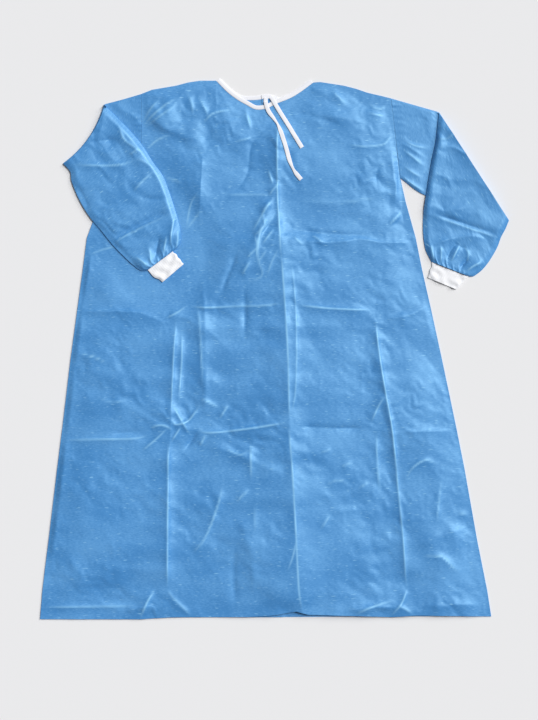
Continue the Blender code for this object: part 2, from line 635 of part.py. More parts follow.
make_tie("neck_tie_right", TIE_RIGHT, tape)
make_tie("neck_tie_left", TIE_LEFT, tape)
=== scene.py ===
import bpy
import numpy as np
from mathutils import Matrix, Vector


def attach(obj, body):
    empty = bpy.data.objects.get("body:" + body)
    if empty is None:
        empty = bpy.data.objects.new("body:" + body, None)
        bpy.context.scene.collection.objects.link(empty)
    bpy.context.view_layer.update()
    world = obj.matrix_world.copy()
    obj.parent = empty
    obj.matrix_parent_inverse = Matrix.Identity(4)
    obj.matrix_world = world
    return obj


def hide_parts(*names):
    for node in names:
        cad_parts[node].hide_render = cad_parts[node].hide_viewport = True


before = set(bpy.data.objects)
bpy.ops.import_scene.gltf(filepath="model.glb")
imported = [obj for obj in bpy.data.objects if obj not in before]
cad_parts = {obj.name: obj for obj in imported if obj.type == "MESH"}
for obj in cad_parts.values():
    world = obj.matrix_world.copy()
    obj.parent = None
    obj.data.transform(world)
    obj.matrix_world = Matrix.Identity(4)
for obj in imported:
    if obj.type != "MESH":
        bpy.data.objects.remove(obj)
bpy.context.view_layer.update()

# Front panel. One cut of blue spunbond nonwoven, about 0.3 mm thick in the hand, from the shoulders to
# the hem. It was packed folded, so it keeps pressed lines along and across and a crumple where they meet.
# Lengths in this file's tables are in millimetres, X to the right, Y towards the neck, Z off the table.
MM = 0.001
CLOTH = 1.1                  # wall of one layer
GAP = 0.3                    # clearance between layers and at seams
LAYER = CLOTH + GAP
# How high the front stands off the back in mid panel, at the hem and at the neck, how far in from its
# edges that takes to grow, and how far the creases take.
LOFT, HEM_LOFT, NECK_LOFT = 5.0, 1.6, 1.8
HEM_RUN, SIDE_RUN, TOP_RUN = 150.0, 80.0, 90.0
EDGE_RUN = 16.0
NECK_MIDDLE, NECK_REACH = (-19.0, 534.0), (62.0, 60.0)
HEM_Y, UNDERARM_Y, ARMHOLE_TOP_Y = -587.0, 377.0, 562.0
HEM_BEND = 120.0             # below this height the mesh rows bend to the hem line
TAPE_WIDTH = 9.0
# The back opening under the front: X of its middle and half its lap, at the hem and at the neck, and how
# the front comes down beside the lap.
BACK_NECK_Y = 556.0
OPENING_X, HALF_LAP = (-19.0, -15.0), (30.0, 13.0)
LAP_MARGIN, LAP_RUN = 14.0, 40.0

# columns: Y, left side, left fold, centre fold, right fold, right side
BODY_SECTIONS = np.array((
    (-587, -516, -236, 61, 300, 476),
    (-529, -511, -236, 58, 300, 467),
    (-419, -497, -235, 50, 284, 445),
    (-261, -478, -233, 41, 271, 417),
    (-166, -466, -228, 35, 258, 398),
    (-23, -449, -222, 31, 232, 368),
    (87, -434, -213, 29, 223, 344),
    (175, -422, -189, 23, 217, 324),
    (245, -413, -171, 16, 214, 310),
    (324, -384, -160, 9, 212, 288),
    (377, -292, -156, 7, 207, 276),
    (461, -292.5, -145, 5, 170, 266.4),
    (562, -293, -127, -6, 83, 254.9),
), float)
LEFT_SIDE, RIGHT_SIDE = 1, 5

# columns: X, Y
HEM_LINE = ((-516, -593), (-296, -593), (-217, -588), (-59, -588), (-6, -584), (47, -575), (73, -582),
            (205, -586), (258, -588), (311, -584), (416, -586), (476, -587))
SHOULDER_LEFT = ((-293, 562), (-270, 571), (-217, 580), (-191, 587), (-164, 591), (-129, 591))
SHOULDER_RIGHT = ((85, 587), (100, 588), (126, 584), (152, 580), (179, 573), (205, 564), (232, 558),
                  (256, 552))
NECK_FRONT = ((-120, 588), (-101, 569), (-80, 553), (-59, 541), (-41, 532), (-19, 534), (1, 544),
              (31, 556), (53, 569), (76, 586))

# Creases of the front. Each stands up from the cloth, or sinks where its height is negative. Routes run
# from the neck down or from left to right, so the light falls on the first of the two widths.
# columns: height, width on the lit side, width on the other, then X and Y of each point of the route
FRONT_CREASES = (
    # long folds, from the left
    (5.9, 14, 90, -217, 61, -223, -56, -228, -166, -233, -261, -235, -397, -236, -525),
    (2.2, 3, 9, -217, 69, -224, -56, -228, -160),
    (2.5, 4, 8, -234, -199, -235, -397, -236, -529),
    (2.2, 4, 10, -204, 43, -204, -23, -211, -122),
    (4.8, 18, 34, -158, 439, -164, 329, -167, 219, -156, 109, -153, -1, -151, -155),
    (2.0, 3, 9, -171, 109, -164, 43, -158, -85),
    (-3.4, 6, 8, -67, 148, -65, 76, -65, 16),
    (5.6, 16, 46, 5, 514, 9, 417, 5, 333),
    (2.7, 4, 10, 5, 501, 5, 417, 7, 318, 14, 197),
    (7.6, 90, 170, 12, 274, 20, 193, 29, 96, 32, -23, 34, -142, 41, -261, 47, -364, 53, -459, 60, -569),
    (4.8, 14, 34, 12, 307, 18, 197, 25, 87, 29, -23, 31, -142, 39, -261, 46, -397, 53, -529, 62, -578),
    (2.7, 3, 10, 14, 215, 23, 87, 29, -23, 32, -155),
    (1.7, 3, 7, 36, 193, 45, 109, 48, -1, 45, -94, 36, -146),
    (3.1, 3, 10, 30, -164, 38, -261, 46, -397, 53, -529, 62, -580),
    (3.4, 44, 12, 221, 69, 227, 8, 238, -67, 256, -166, 269, -265, 282, -397, 289, -525),
    (3.1, 4, 14, 221, 65, 227, 8, 240, -78, 256, -166, 267, -254),
    (2.7, 4, 10, 256, -166, 265, -243, 273, -331, 282, -419, 287, -496, 291, -529),
    (2.4, 4, 10, 223, -177, 225, -243, 232, -324),
    (-4.2, 34, 100, 256, -166, 269, -265, 282, -397, 289, -542),
    # folds across, from the neck down
    (-2.7, 6, 8, 27, 267, 78, 258, 155, 252, 223, 250),
    (3.6, 7, 14, 56, 239, 104, 235, 155, 237, 188, 242, 243, 234, 306, 237),
    (1.5, 3, 9, -120, 342, -59, 340, 3, 340),
    (1.5, 3, 9, 51, 324, 155, 324, 240, 336),
    (3.1, 7, 13, -433, 82, -373, 84, -301, 82, -274, 72, -248, 61, -219, 61),
    (2.7, 4, 10, -241, 67, -213, 82, -191, 98),
    (3.2, 5, 12, -191, 96, -149, 92, -76, 95, -28, 96, 18, 102),
    (3.7, 5, 14, 47, 98, 122, 90, 214, 86),
    (2.8, 9, 12, 214, 69, 265, 69, 306, 80, 339, 98),
    (3.4, 5, 12, -464, -199, -384, -197, -307, -195, -270, -186),
    (-2.2, 6, 5, -362, -186, -292, -179),
    (3.7, 4, 13, -171, -166, -153, -182, -76, -176, 29, -160),
    (-4.8, 7, 22, 47, -168, 122, -172, 210, -173),
    (2.1, 6, 12, 254, -182, 320, -180, 399, -177),
    # crumple where the left long fold meets the lower one across
    (4.4, 3, 9, -228, -148, -217, -164, -191, -157, -175, -138, -162, -118),
    (4.1, 3, 9, -224, -122, -206, -153, -186, -186),
    (3.1, 3, 9, -164, -107, -145, -116, -123, -129),
    (2.7, 3, 8, -101, -120, -120, -151),
    (3.7, 5, 10, -292, -223, -263, -199, -235, -173),
    (3.1, 3, 9, -226, -201, -206, -170),
    (2.9, 3, 9, -151, -186, -164, -212),
    (-3.7, 4, 5, -200, -223, -184, -201, -169, -179),
    (2.7, 3, 9, -274, -170, -246, -166, -222, -177),
    # left chest and shoulder
    (6.4, 60, 12, -283, 522, -252, 492, -204, 470, -151, 457),
    (-3.6, 16, 14, -173, 454, -134, 481, -94, 509),
    (2.7, 4, 11, -158, 496, -142, 514, -125, 522, -92, 527),
    (3.1, 4, 10, -294, 487, -268, 514, -239, 538, -208, 556),
    (2.5, 3, 9, -292, 496, -274, 527, -252, 551),
    (2.5, 3, 9, -290, 485, -252, 512, -213, 540),
    (2.9, 4, 9, -283, 439, -257, 461, -226, 472),
    (2.0, 3, 8, -171, 558, -156, 536, -145, 509),
    (1.9, 3, 8, -195, 566, -182, 540, -180, 514),
    (2.0, 3, 9, -65, 527, -52, 481),
    (1.7, 3, 8, -85, 457, -50, 465),
    (-1.7, 5, 6, -6, 492, -28, 476, -52, 446, -59, 391, -83, 355, -127, 342),
    (2.0, 3, 8, -246, 382, -202, 364),
    (2.4, 3, 8, -162, 353, -184, 320, -195, 261),
    (2.2, 3, 8, -162, 305, -193, 265),
    # crumple of the middle, and down to the waist
    (3.9, 12, 16, 5, 362, -21, 285, -50, 219, -70, 140),
    (1.7, 7, 14, 23, 318, -6, 230, -28, 157),
    (2.7, 3, 9, -4, 331, -21, 307, -50, 256),
    (2.5, 3, 9, 5, 298, -26, 265, -41, 228),
    (2.7, 4, 9, 9, 221, -6, 193, -17, 160),
    (2.7, 3, 9, -28, 280, -35, 241, -41, 193),
    (-3.4, 5, 6, -79, 221, -105, 157, -123, 111),
    (1.7, 5, 10, -43, 241, -35, 193, -28, 162, -65, 144),
    (2.2, 3, 8, -15, 395, -4, 362),
    (2.4, 3, 7, -10, 324, -28, 298),
    (2.4, 3, 7, -28, 298, -19, 267),
    (2.5, 3, 7, -15, 276, -46, 248),
    (2.2, 3, 7, -43, 250, -37, 221),
    (2.4, 3, 7, -35, 226, -61, 201),
    (2.2, 3, 7, -2, 265, -28, 230),
    (2.2, 3, 7, -54, 193, -72, 164),
    (2.2, 3, 7, -17, 219, -37, 190),
    (2.0, 3, 7, 7, 364, -13, 338),
    (-3.1, 5, 6, 14, 316, -10, 280, -32, 250),
    # right chest
    (3.6, 26, 18, 56, 507, 122, 512, 205, 496),
    (-2.0, 8, 10, 18, 527, 95, 509, 157, 487),
    (3.2, 5, 10, 155, 452, 188, 446, 236, 450, 254, 465, 273, 468),
    (4.5, 9, 24, 271, 457, 269, 384, 262, 302),
    (2.4, 3, 8, 126, 571, 157, 536),
    (2.7, 3, 9, 205, 542, 227, 529, 247, 536),
    (2.2, 3, 9, 201, 522, 225, 516, 245, 509),
    (3.4, 3, 9, 282, 307, 267, 289, 249, 272),
    (2.4, 3, 8, 40, 250, 64, 226),
    (2.2, 3, 8, 82, 252, 108, 234),
    (-2.0, 5, 6, 236, 417, 223, 382, 227, 340),
    # waist to the lower fold
    (3.6, 45, 9, -402, 215, -428, 65, -455, -89, -479, -287, -501, -485),
    (2.2, 3, 9, -428, -8, -398, -16, -365, -32),
    (2.5, 4, 9, -411, 206, -380, 219, -343, 228),
    (2.4, 4, 9, 245, -98, 229, -122, 210, -164),
    (2.2, 7, 12, -173, -76, -142, -63, -116, -76),
    (2.4, 8, 13, -96, -94, -76, -76, -54, -85),
    (1.7, 3, 9, -393, -102, -358, -116, -318, -109),
    # skirt
    (4.2, 20, 28, -164, -204, -76, -234, 25, -278),
    (3.4, 5, 12, -116, -294, -123, -336, -151, -410, -182, -450),
    (2.2, 3, 9, -57, -307, -83, -333),
    (2.2, 4, 9, -52, -199, -52, -292),
    (2.0, 4, 9, -43, -338, -43, -402),
    (-2.4, 6, 8, -87, -419, -90, -496, -85, -573),
    (2.4, 3, 9, -112, -215, -76, -230, -57, -219),
    (4.8, 34, 20, -81, -364, -54, -437, -43, -551),
    (2.7, 5, 10, 47, -415, 40, -452, 27, -487),
    (2.2, 6, 11, 115, -360, 155, -350, 212, -353),
    (2.2, 4, 9, 122, -362, 100, -395),
    (2.0, 4, 9, 100, -226, 124, -219),
    (2.0, 4, 9, 146, -256, 170, -248),
    (2.0, 4, 9, 113, -296, 139, -287, 163, -296),
    (2.0, 4, 9, 183, -305, 205, -292),
    (2.9, 4, 10, 287, -289, 302, -261, 331, -243, 361, -254),
    (2.5, 4, 10, 366, -283, 355, -388),
    (2.5, 4, 9, 392, -355, 432, -366),
    (-2.7, 5, 6, 421, -373, 443, -410),
    (3.1, 5, 12, 317, -457, 364, -454, 410, -498),
    (5.0, 20, 44, 300, -439, 364, -408, 434, -388),
    # hem
    (3.6, 110, 9, -41, -586, 56, -582, 166, -586, 276, -586, 403, -584),
    (3.4, 5, 10, -263, -529, -279, -553, -296, -591),
    (3.2, 5, 10, -239, -525, -222, -547, -182, -586),
    (3.1, 4, 10, 291, -525, 278, -558, 254, -586),
    (3.1, 5, 11, 174, -582, 221, -562, 269, -549),
    (2.7, 4, 10, 269, -560, 304, -580),
    (4.2, 12, 10, -340, -578, -283, -566, -235, -569),
    (4.5, 12, 10, 144, -575, 221, -566, 291, -569),
    (4.2, 14, 16, 320, -564, 386, -560, 456, -562),
    (2.4, 4, 12, -512, -566, -406, -565, -301, -564),
)

# Broad swells of the front, where the cloth bridges what lies under it.
# columns: height, X, Y, reach across, reach along
FRONT_SWELLS = (
    (-1.2, -55, 395, 60, 70),            # middle of the chest
    (2.6, 70, -60, 90, 150),             # right of the centre, waist
    (1.6, -90, 180, 60, 130),            # left of the centre, waist
    (1.8, -370, -330, 80, 180),          # left skirt
    (3.4, 60, -520, 120, 190),           # right skirt
    (-1.0, 370, -400, 50, 60),           # right side
)
# Flat facets of the cloth everywhere, and the finer ones of its crumple. Relief over PRESSED_FROM is
# pressed down. columns: height, size, seed
BROAD_FACETS = ((1.6, 78, 21),)
CRUMPLE_FACETS = ((0.8, 33, 31), (0.7, 16, 33))
PRESSED_FROM, PRESSED_RANGE = 6.0, 7.0
SHARP = 5                                # creases this narrow on the lit side get a painted highlight along the crest
CREST_ROUNDING, WHITE_REACH = 0.8, 2.0
UNEVEN_STEP, UNEVEN_STEPS = 25, 64       # a crease's seeded unevenness along its route
END_RUN = 50                             # how far from its ends it takes to rise, at most
LATTICE = 64                             # seeded heights of the facets each way before they repeat
SPAN_STEPS = (84, 88, 74, 54)            # mesh columns between the lines of BODY_SECTIONS
CROSS_HEIGHTS = (0, 417, 672, 828, 964)  # heights above the hem of the folds across, and mesh rows between
CROSS_STEPS = (102, 66, 46, 36)
ROWS_ABOVE = 50                          # mesh rows above the underarm
CLOSER = 0.45                            # how much closer columns and rows lie beside a fold
UNDER_STEP = 5                           # the hidden face has every fifth row and column

# The left forearm lies on the front: its middle line, how far from it the front lies flat, and the run
# over which the front rises again.
FOREARM_AXIS = ((-384, 439), (-252, 208))
FOREARM_REACH, FOREARM_RUN = 95.0, 60.0


def smooth(value):
    """0 below 0, 1 above 1, and 3t^2 - 2t^3 between."""
    t = np.clip(value, 0.0, 1.0)
    return t * t * (3 - 2 * t)


def line_at(points, x):
    """Y of a line of (X, Y) points at each x."""
    table = np.asarray(points, float)
    return np.interp(x, table[:, 0], table[:, 1])


def section_at(column, y):
    """X of one column of BODY_SECTIONS at each y."""
    return np.interp(y, BODY_SECTIONS[:, 0], BODY_SECTIONS[:, column])


def column_line(column):
    """One column of BODY_SECTIONS as a function of y."""
    return lambda y: section_at(column, y)


def smooth_route(points, count):
    """count points on a Catmull-Rom curve through rows of numbers: each stretch is the cubic whose slope
    at a row is half the difference of the rows beside it."""
    p = np.asarray(points, float)
    p = np.vstack([2 * p[0] - p[1], p, 2 * p[-1] - p[-2]])
    s = np.linspace(0, len(p) - 3 - 1e-9, count)
    i = s.astype(int)
    t = (s - i)[:, None]
    a, b, c, d = p[i], p[i + 1], p[i + 2], p[i + 3]
    square = (2 * a - 5 * b + 4 * c - d) * t ** 2
    cube = (3 * b - a - 3 * c + d) * t ** 3
    return 0.5 * (2 * b + (c - a) * t + square + cube)


def route_distance(x, y, route):
    """Signed distance to a route, positive to the left of it, the distance along it, and its length: the
    nearest of the feet of the perpendiculars on its stretches."""
    best, along, side, done = np.full(np.shape(x), np.inf), 0.0 * x, 1.0 + 0.0 * x, 0.0
    for (x0, y0), (x1, y1) in zip(route[:-1], route[1:]):
        length = np.hypot(x1 - x0, y1 - y0)
        ux, uy = (x1 - x0) / length, (y1 - y0) / length
        s = np.clip((x - x0) * ux + (y - y0) * uy, 0, length)
        across_x, across_y = x - x0 - s * ux, y - y0 - s * uy
        d = np.hypot(across_x, across_y)
        nearer = d < best
        best = np.where(nearer, d, best)
        side = np.where(nearer, np.where(ux * across_y - uy * across_x >= 0, 1.0, -1.0), side)
        along = np.where(nearer, done + s, along)
        done += length
    return best * side, along, done


def creased(x, y, creases, seed):
    """Two sums over the creases, each uneven along the route by seeded steps and dying out at both ends.
    Height: height * exp(-d / width), with d rounded off over the crest and a width for each side.
    Painted highlight, only for sharp ridges: exp(-(d / reach)^2), times height / 3 if that is less than 1."""
    rng = np.random.default_rng(seed)
    total, white = np.zeros(np.shape(x)), np.zeros(np.shape(x))
    for height, lit, other, *numbers in creases:
        route = smooth_route(np.reshape(numbers, (-1, 2)), 3 * len(numbers))
        uneven = rng.uniform(0.6, 1.3, UNEVEN_STEPS)
        reach = 5 * max(lit, other)
        (x0, y0), (x1, y1) = route.min(0) - reach, route.max(0) + reach
        near = (x > x0) & (x < x1) & (y > y0) & (y < y1)
        if not near.any():
            continue
        distance, along, length = route_distance(x[near], y[near], route)
        width = np.where(distance > 0, lit, other)
        rounded = np.hypot(distance, CREST_ROUNDING) - CREST_ROUNDING
        ends = smooth((np.minimum(along, length - along) + 2) / min(0.4 * length, END_RUN))
        lasting = ends * np.interp(along, UNEVEN_STEP * np.arange(UNEVEN_STEPS), uneven)
        total[near] += height * lasting * np.exp(-rounded / width)
        if height > 0 and lit <= SHARP:
            white[near] += min(height / 3, 1) * lasting * np.exp(-(distance / WHITE_REACH) ** 2)
    return total, np.minimum(white, 1.0)


def swells_height(x, y, swells):
    """Sum of bell-shaped swells: height * exp(-((x - X) / across)^2 - ((y - Y) / along)^2)."""
    return sum(h * np.exp(-((x - cx) / rx) ** 2 - ((y - cy) / ry) ** 2) for h, cx, cy, rx, ry in swells)


def waves(x, y, length, seed):
    """Soft unevenness, mostly within -1 to 1: twelve cosine waves of nearly one length in seeded
    directions, added and divided by 3."""
    rng = np.random.default_rng(seed)
    turn, phase = rng.uniform(0, 2 * np.pi, (2, 12))
    number = 2 * np.pi / (length * rng.uniform(0.75, 1.35, 12))
    reach = x[..., None] * np.cos(turn) + y[..., None] * np.sin(turn)
    return np.cos(reach * number + phase).sum(-1) / 3


def facets(x, y, size, seed):
    """Flat facets that meet in straight creases, as packed cloth keeps, -1 to 1: seeded heights at the
    corners of a lattice of triangles of that size, planes between them, and the lattice bent by waves."""
    table = np.random.default_rng(seed).uniform(-1, 1, (LATTICE, LATTICE))
    bent_x = (x + 0.3 * size * waves(x, y, 3.3 * size, seed + 1)) / size
    bent_y = (y + 0.3 * size * waves(x, y, 2.7 * size, seed + 2)) / size
    u, v = bent_x + 0.5 * bent_y, bent_y - 0.25 * bent_x
    i, j = np.floor(u).astype(int), np.floor(v).astype(int)
    u, v = u - i, v - j
    corner = {(a, b): table[(i + a) % LATTICE, (j + b) % LATTICE] for a in (0, 1) for b in (0, 1)}
    low = corner[0, 0] * (1 - u - v) + corner[1, 0] * u + corner[0, 1] * v
    high = corner[1, 1] * (u + v - 1) + corner[0, 1] * (1 - u) + corner[1, 0] * (1 - v)
    return np.where(u + v < 1, low, high)


def faceted(x, y, rows, seed=0):
    """Sum over a table's rows: height * facets of that size, each from its own seed."""
    return sum(height * facets(x, y, size, seed + own) for height, size, own in rows)


def right_of(route):
    """At each point of a route, the step of length 1 to its right."""
    along = np.gradient(route, axis=0)
    along /= np.linalg.norm(along, axis=1)[:, None]
    return np.stack([along[:, 1], -along[:, 0]], 1)


def neck_seam(count):
    """The front panel's neckline: the tape's middle line moved half a tape towards the panel."""
    middle = smooth_route(NECK_FRONT, count)
    return middle + right_of(middle) * (TAPE_WIDTH / 2 + GAP)


def between_shoulders(neckline):
    """Shoulder, neckline and shoulder as one line of (X, Y), from left to right."""
    inside = (neckline[:, 0] > SHOULDER_LEFT[-1][0] + 1) & (neckline[:, 0] < SHOULDER_RIGHT[0][0] - 1)
    return np.vstack([SHOULDER_LEFT, neckline[inside], SHOULDER_RIGHT])


FRONT_TOP = between_shoulders(neck_seam(109))


def back_share(y):
    """How far up the back opening each y is: 0 at the hem, 1 at the neck."""
    return (y - HEM_Y) / (BACK_NECK_Y - HEM_Y)


def back_centre(y):
    """X of the back opening's middle at each y, a straight line."""
    return OPENING_X[0] + (OPENING_X[1] - OPENING_X[0]) * back_share(y)


def half_lap(y):
    """Half the overlap of the back halves at each y, a straight line."""
    return HALF_LAP[0] + (HALF_LAP[1] - HALF_LAP[0]) * back_share(y)


def seam_puckers(along, away, seed):
    """Small waves across a sewn seam that die out away from it: a cosine of uneven 13 mm waves along the
    seam, times exp(-away / 9), and a groove of 0.4 mm at the seam itself."""
    phase = 2 * np.pi * along / 13 + 1.8 * waves(along, 0 * along, 60, seed)
    return 0.5 * np.cos(phase) * np.exp(-away / 9) - 0.4 * np.exp(-(away / 1.8) ** 2)


def front_rise(x, y):
    """Height of the front above its level at the seams: loft that grows from the edges, the neckline's
    own loft, the creases, swells, facets and waves, less beside and under the left forearm, the relief
    pressed down to PRESSED_FROM + range * tanh(excess / range), and never less than what clears the
    backs' lap."""
    side = np.minimum(x - section_at(LEFT_SIDE, y), section_at(RIGHT_SIDE, y) - x)
    top = line_at(FRONT_TOP, x) - y
    hem = y - line_at(HEM_LINE, x)
    loft = (HEM_LOFT + (LOFT - HEM_LOFT) * smooth(hem / HEM_RUN)) * smooth(side / SIDE_RUN)
    loft *= smooth(top / TOP_RUN)
    from_neck = ((x - NECK_MIDDLE[0]) / NECK_REACH[0]) ** 2 + ((y - NECK_MIDDLE[1]) / NECK_REACH[1]) ** 2
    loft = np.maximum(loft, NECK_LOFT * np.exp(-from_neck))
    free = smooth((np.abs(route_distance(x, y, FOREARM_AXIS)[0]) - FOREARM_REACH) / FOREARM_RUN)
    inner = smooth(side / EDGE_RUN) * smooth(top / EDGE_RUN) * free
    relief = creased(x, y, FRONT_CREASES, 11)[0] + swells_height(x, y, FRONT_SWELLS)
    crumpled = np.clip(0.75 + 0.6 * waves(x, y, 230, 61), 0.25, 1.5)
    relief += faceted(x, y, BROAD_FACETS) + crumpled * faceted(x, y, CRUMPLE_FACETS)
    relief += 0.8 * waves(x, y, 170, 41)
    pressed = PRESSED_FROM + PRESSED_RANGE * np.tanh((relief - PRESSED_FROM) / PRESSED_RANGE)
    relief = np.where(relief > PRESSED_FROM, pressed, relief)
    rise = loft * (0.4 + 0.6 * free) + relief * inner
    at_armhole = (y > UNDERARM_Y + 8) & (top > 6)
    rise += seam_puckers(y, side, 51) * at_armhole * free
    past_lap = np.abs(x - back_centre(y)) - half_lap(y)
    clears_lap = (LAYER + GAP / 2) * smooth(1 - (past_lap - LAP_MARGIN) / LAP_RUN)
    return np.maximum(np.maximum(rise, clears_lap), 0.0)


def front_height(x, y):
    """Height of the front panel's upper face."""
    return LAYER + CLOTH + front_rise(x, y)


def panel_grid(anchors, columns, heights, shares, top_line, hem_line):
    """X and Y of a body panel's grid. Columns are shares of the way between the anchor lines. Rows are
    straight up to the underarm, and bend to the hem line near the hem; above it they are shares of the
    way to the top line."""
    spans = np.arange(len(anchors))

    def across(y):
        lines = np.array([anchor(y) for anchor in anchors])
        return np.array([np.interp(c, spans, lines[:, k]) for k, c in enumerate(columns)])

    xs, ys = [], []
    for height in heights:
        x = across(np.full(len(columns), HEM_Y + height))
        to_hem = (line_at(hem_line, x) - HEM_Y) * (1 - smooth(height / HEM_BEND))
        xs.append(x)
        ys.append(HEM_Y + height + to_hem)
    top_y = line_at(top_line, across(np.full(len(columns), ARMHOLE_TOP_Y)))
    for share in shares:
        x = across(UNDERARM_Y + share * (top_y - UNDERARM_Y))
        xs.append(x)
        ys.append(UNDERARM_Y + share * (line_at(top_line, x) - UNDERARM_Y))
    return np.array(xs), np.array(ys)


def grid_faces(index, closed=False):
    """Quads between neighbouring rows and columns of a grid of vertex numbers."""
    here = index if closed else index[:, :-1]
    beside = np.roll(index, -1, 1) if closed else index[:, 1:]
    return np.stack([here[:-1], beside[:-1], beside[1:], here[1:]], -1).reshape(-1, 4)


def border(grid):
    """The outer entries of a grid, once round."""
    return np.concatenate([grid[0, :-1], grid[:-1, -1], grid[-1, :0:-1], grid[:0:-1, 0]])


def listed(*grids):
    """The entries of grids side by side, one row for each point, the grids stretched to one shape."""
    return np.stack(np.broadcast_arrays(*grids), -1).reshape(-1, len(grids))


def placed(name, data):
    """A new object in the scene, at the origin."""
    made = bpy.data.objects.new(name, data)
    bpy.context.scene.collection.objects.link(made)
    return made


SHARP_EDGE = 0.9             # radians between faces from which an edge isn't shaded smooth


def piece(name, points, faces, maps, finish, node, white=None):
    """A smooth-shaded mesh from points in millimetres, faces, each point's place on the cut cloth in
    millimetres and how much painted highlight along a crease it carries, which rides on the part and
    replaces a node."""
    mesh = bpy.data.meshes.new(name)
    mesh.from_pydata((np.asarray(points) * MM).tolist(), [], faces)
    corners = np.empty(len(mesh.loops), int)
    mesh.loops.foreach_get("vertex_index", corners)
    cut = mesh.uv_layers.new(name="cut")
    cut.uv.foreach_set("vector", (np.asarray(maps, np.float32)[corners] * MM).ravel())
    if white is not None:
        crest = mesh.attributes.new("crest_highlight", "FLOAT", "POINT")
        crest.data.foreach_set("value", np.asarray(white, np.float32))
    mesh.shade_smooth()
    mesh.set_sharp_from_angle(angle=SHARP_EDGE)
    mesh.materials.append(finish)
    made = placed(name, mesh)
    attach(made, "root")
    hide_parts(node)
    return made


def cloth_wall(name, x, y, top, step, node, white=0.0):
    """A closed wall of the gown's cloth: a fine upper face, a lower face with every step-th row and
    column that stays a wall's thickness under the lowest point near it, and a rim of one face for each
    of its edges."""
    index = np.arange(x.size).reshape(x.shape)
    padded = np.pad(top, step, mode="edge")
    windows = np.lib.stride_tricks.sliding_window_view(padded, (2 * step + 1, 2 * step + 1))
    lowest = windows[::step, ::step].min((2, 3))
    lowest[[0, -1]] = top[::step, ::step][[0, -1]]
    lowest[:, [0, -1]] = top[::step, ::step][:, [0, -1]]
    under_x, under_y = x[::step, ::step], y[::step, ::step]
    under = np.arange(under_x.size).reshape(under_x.shape) + x.size

    fine, coarse = border(index), border(under)
    spans = np.arange(len(coarse))[:, None] * step + np.arange(step, -1, -1)
    rim = np.column_stack([fine[spans % len(fine)], coarse, np.roll(coarse, -1)])
    points = np.concatenate([listed(x, y, top), listed(under_x, under_y, lowest - CLOTH)])
    faces = grid_faces(index).tolist() + grid_faces(under)[:, ::-1].tolist() + rim.tolist()
    # Painted highlight along the front's sharp crests.
    crest_highlight = np.zeros(len(points))
    crest_highlight[:x.size] = (white + 0 * x).ravel()
    return piece(name, points, faces, points[:, :2], blue_cloth, node, crest_highlight)


def link(source, output, target, socket):
    """Joins one node's output to another's input."""
    source.id_data.links.new(source.outputs[output], target.inputs[socket])


def new_finish(name, roughness):
    """A material, its shader, and a node that gives the cut cloth's own map."""
    material = bpy.data.materials.new(name)
    material.use_nodes = True
    shader = material.node_tree.nodes["Principled BSDF"]
    shader.inputs["Roughness"].default_value = roughness
    cut = material.node_tree.nodes.new("ShaderNodeUVMap")
    cut.uv_map = "cut"
    return material, shader, cut


def raise_bump(shader, height, distance, strength):
    """Gives a shader a bump from a node and its output's name, that many metres high."""
    bump = shader.id_data.nodes.new("ShaderNodeBump")
    bump.inputs["Strength"].default_value = strength
    bump.inputs["Distance"].default_value = distance
    link(*height, bump, "Height")
    link(bump, "Normal", shader, "Normal")


def cells(cut, scale, randomness):
    """Distance to the nearest of nearly even points on the cut cloth's own map, scale to the metre."""
    pattern = cut.id_data.nodes.new("ShaderNodeTexVoronoi")
    pattern.inputs["Scale"].default_value = scale
    pattern.inputs["Randomness"].default_value = randomness
    link(cut, "UV", pattern, "Vector")
    return pattern, "Distance"


def speckle(cut, scale, stretch, detail, kind="FBM"):
    """A noise pattern on the cut cloth's own map, scale per metre, stretched along the cloth's width."""
    place = cut.id_data.nodes.new("ShaderNodeMapping")
    place.inputs["Scale"].default_value = (scale / stretch, scale, scale)
    noise = cut.id_data.nodes.new("ShaderNodeTexNoise")
    noise.noise_type = kind
    noise.inputs["Scale"].default_value = 1.0
    noise.inputs["Detail"].default_value = detail
    link(cut, "UV", place, "Vector")
    link(place, "Vector", noise, "Vector")
    return noise, "Fac"


def maths(operation, first, second, third=0.0, clamp=False):
    """A maths node. Its first value is a node and the name of its output, as the others may be."""
    node = first[0].id_data.nodes.new("ShaderNodeMath")
    node.operation = operation
    node.use_clamp = clamp
    for k, value in enumerate((first, second, third)):
        if isinstance(value, tuple):
            link(*value, node, k)
        else:
            node.inputs[k].default_value = value
    return node, "Value"


# Spunbond cloth: fine flecks and broad clouds of denser and thinner fibre between two blues, pale threads,
# and a painted highlight along the sharp crests. As bump it has, in millimetres, small sharp wrinkles that
# come and go over some 150 mm, the calender's bonded dots, and the flecks. It has a soft broad sheen.
DEEP_BLUE, PALE_BLUE = (0.052, 0.234, 0.560, 1), (0.104, 0.330, 0.685, 1)
# Blue of the pale threads, and of the painted highlight on the crests.
THREAD_AND_HIGHLIGHT_BLUE = (0.20, 0.47, 0.78, 1)
DOT_HEIGHT, FLECK_HEIGHT = 0.06, 0.04

blue_cloth, cloth_shader, cut = new_finish("blue_nonwoven", 0.47)
cloth_shader.inputs["Specular IOR Level"].default_value = 1.0
cloth_shader.inputs["Specular Tint"].default_value = (0.55, 0.88, 1.0, 1)
flecks = speckle(cut, 380, 2.6, 3.0)
dense = maths("MULTIPLY_ADD", flecks, 0.7, maths("MULTIPLY_ADD", speckle(cut, 13, 1.6, 3.0), 0.85, -0.275))
colour = blue_cloth.node_tree.nodes.new("ShaderNodeValToRGB")
for element, at, blue in zip(colour.color_ramp.elements, (0.38, 0.68), (DEEP_BLUE, PALE_BLUE)):
    element.position, element.color = at, blue
link(*dense, colour, "Fac")
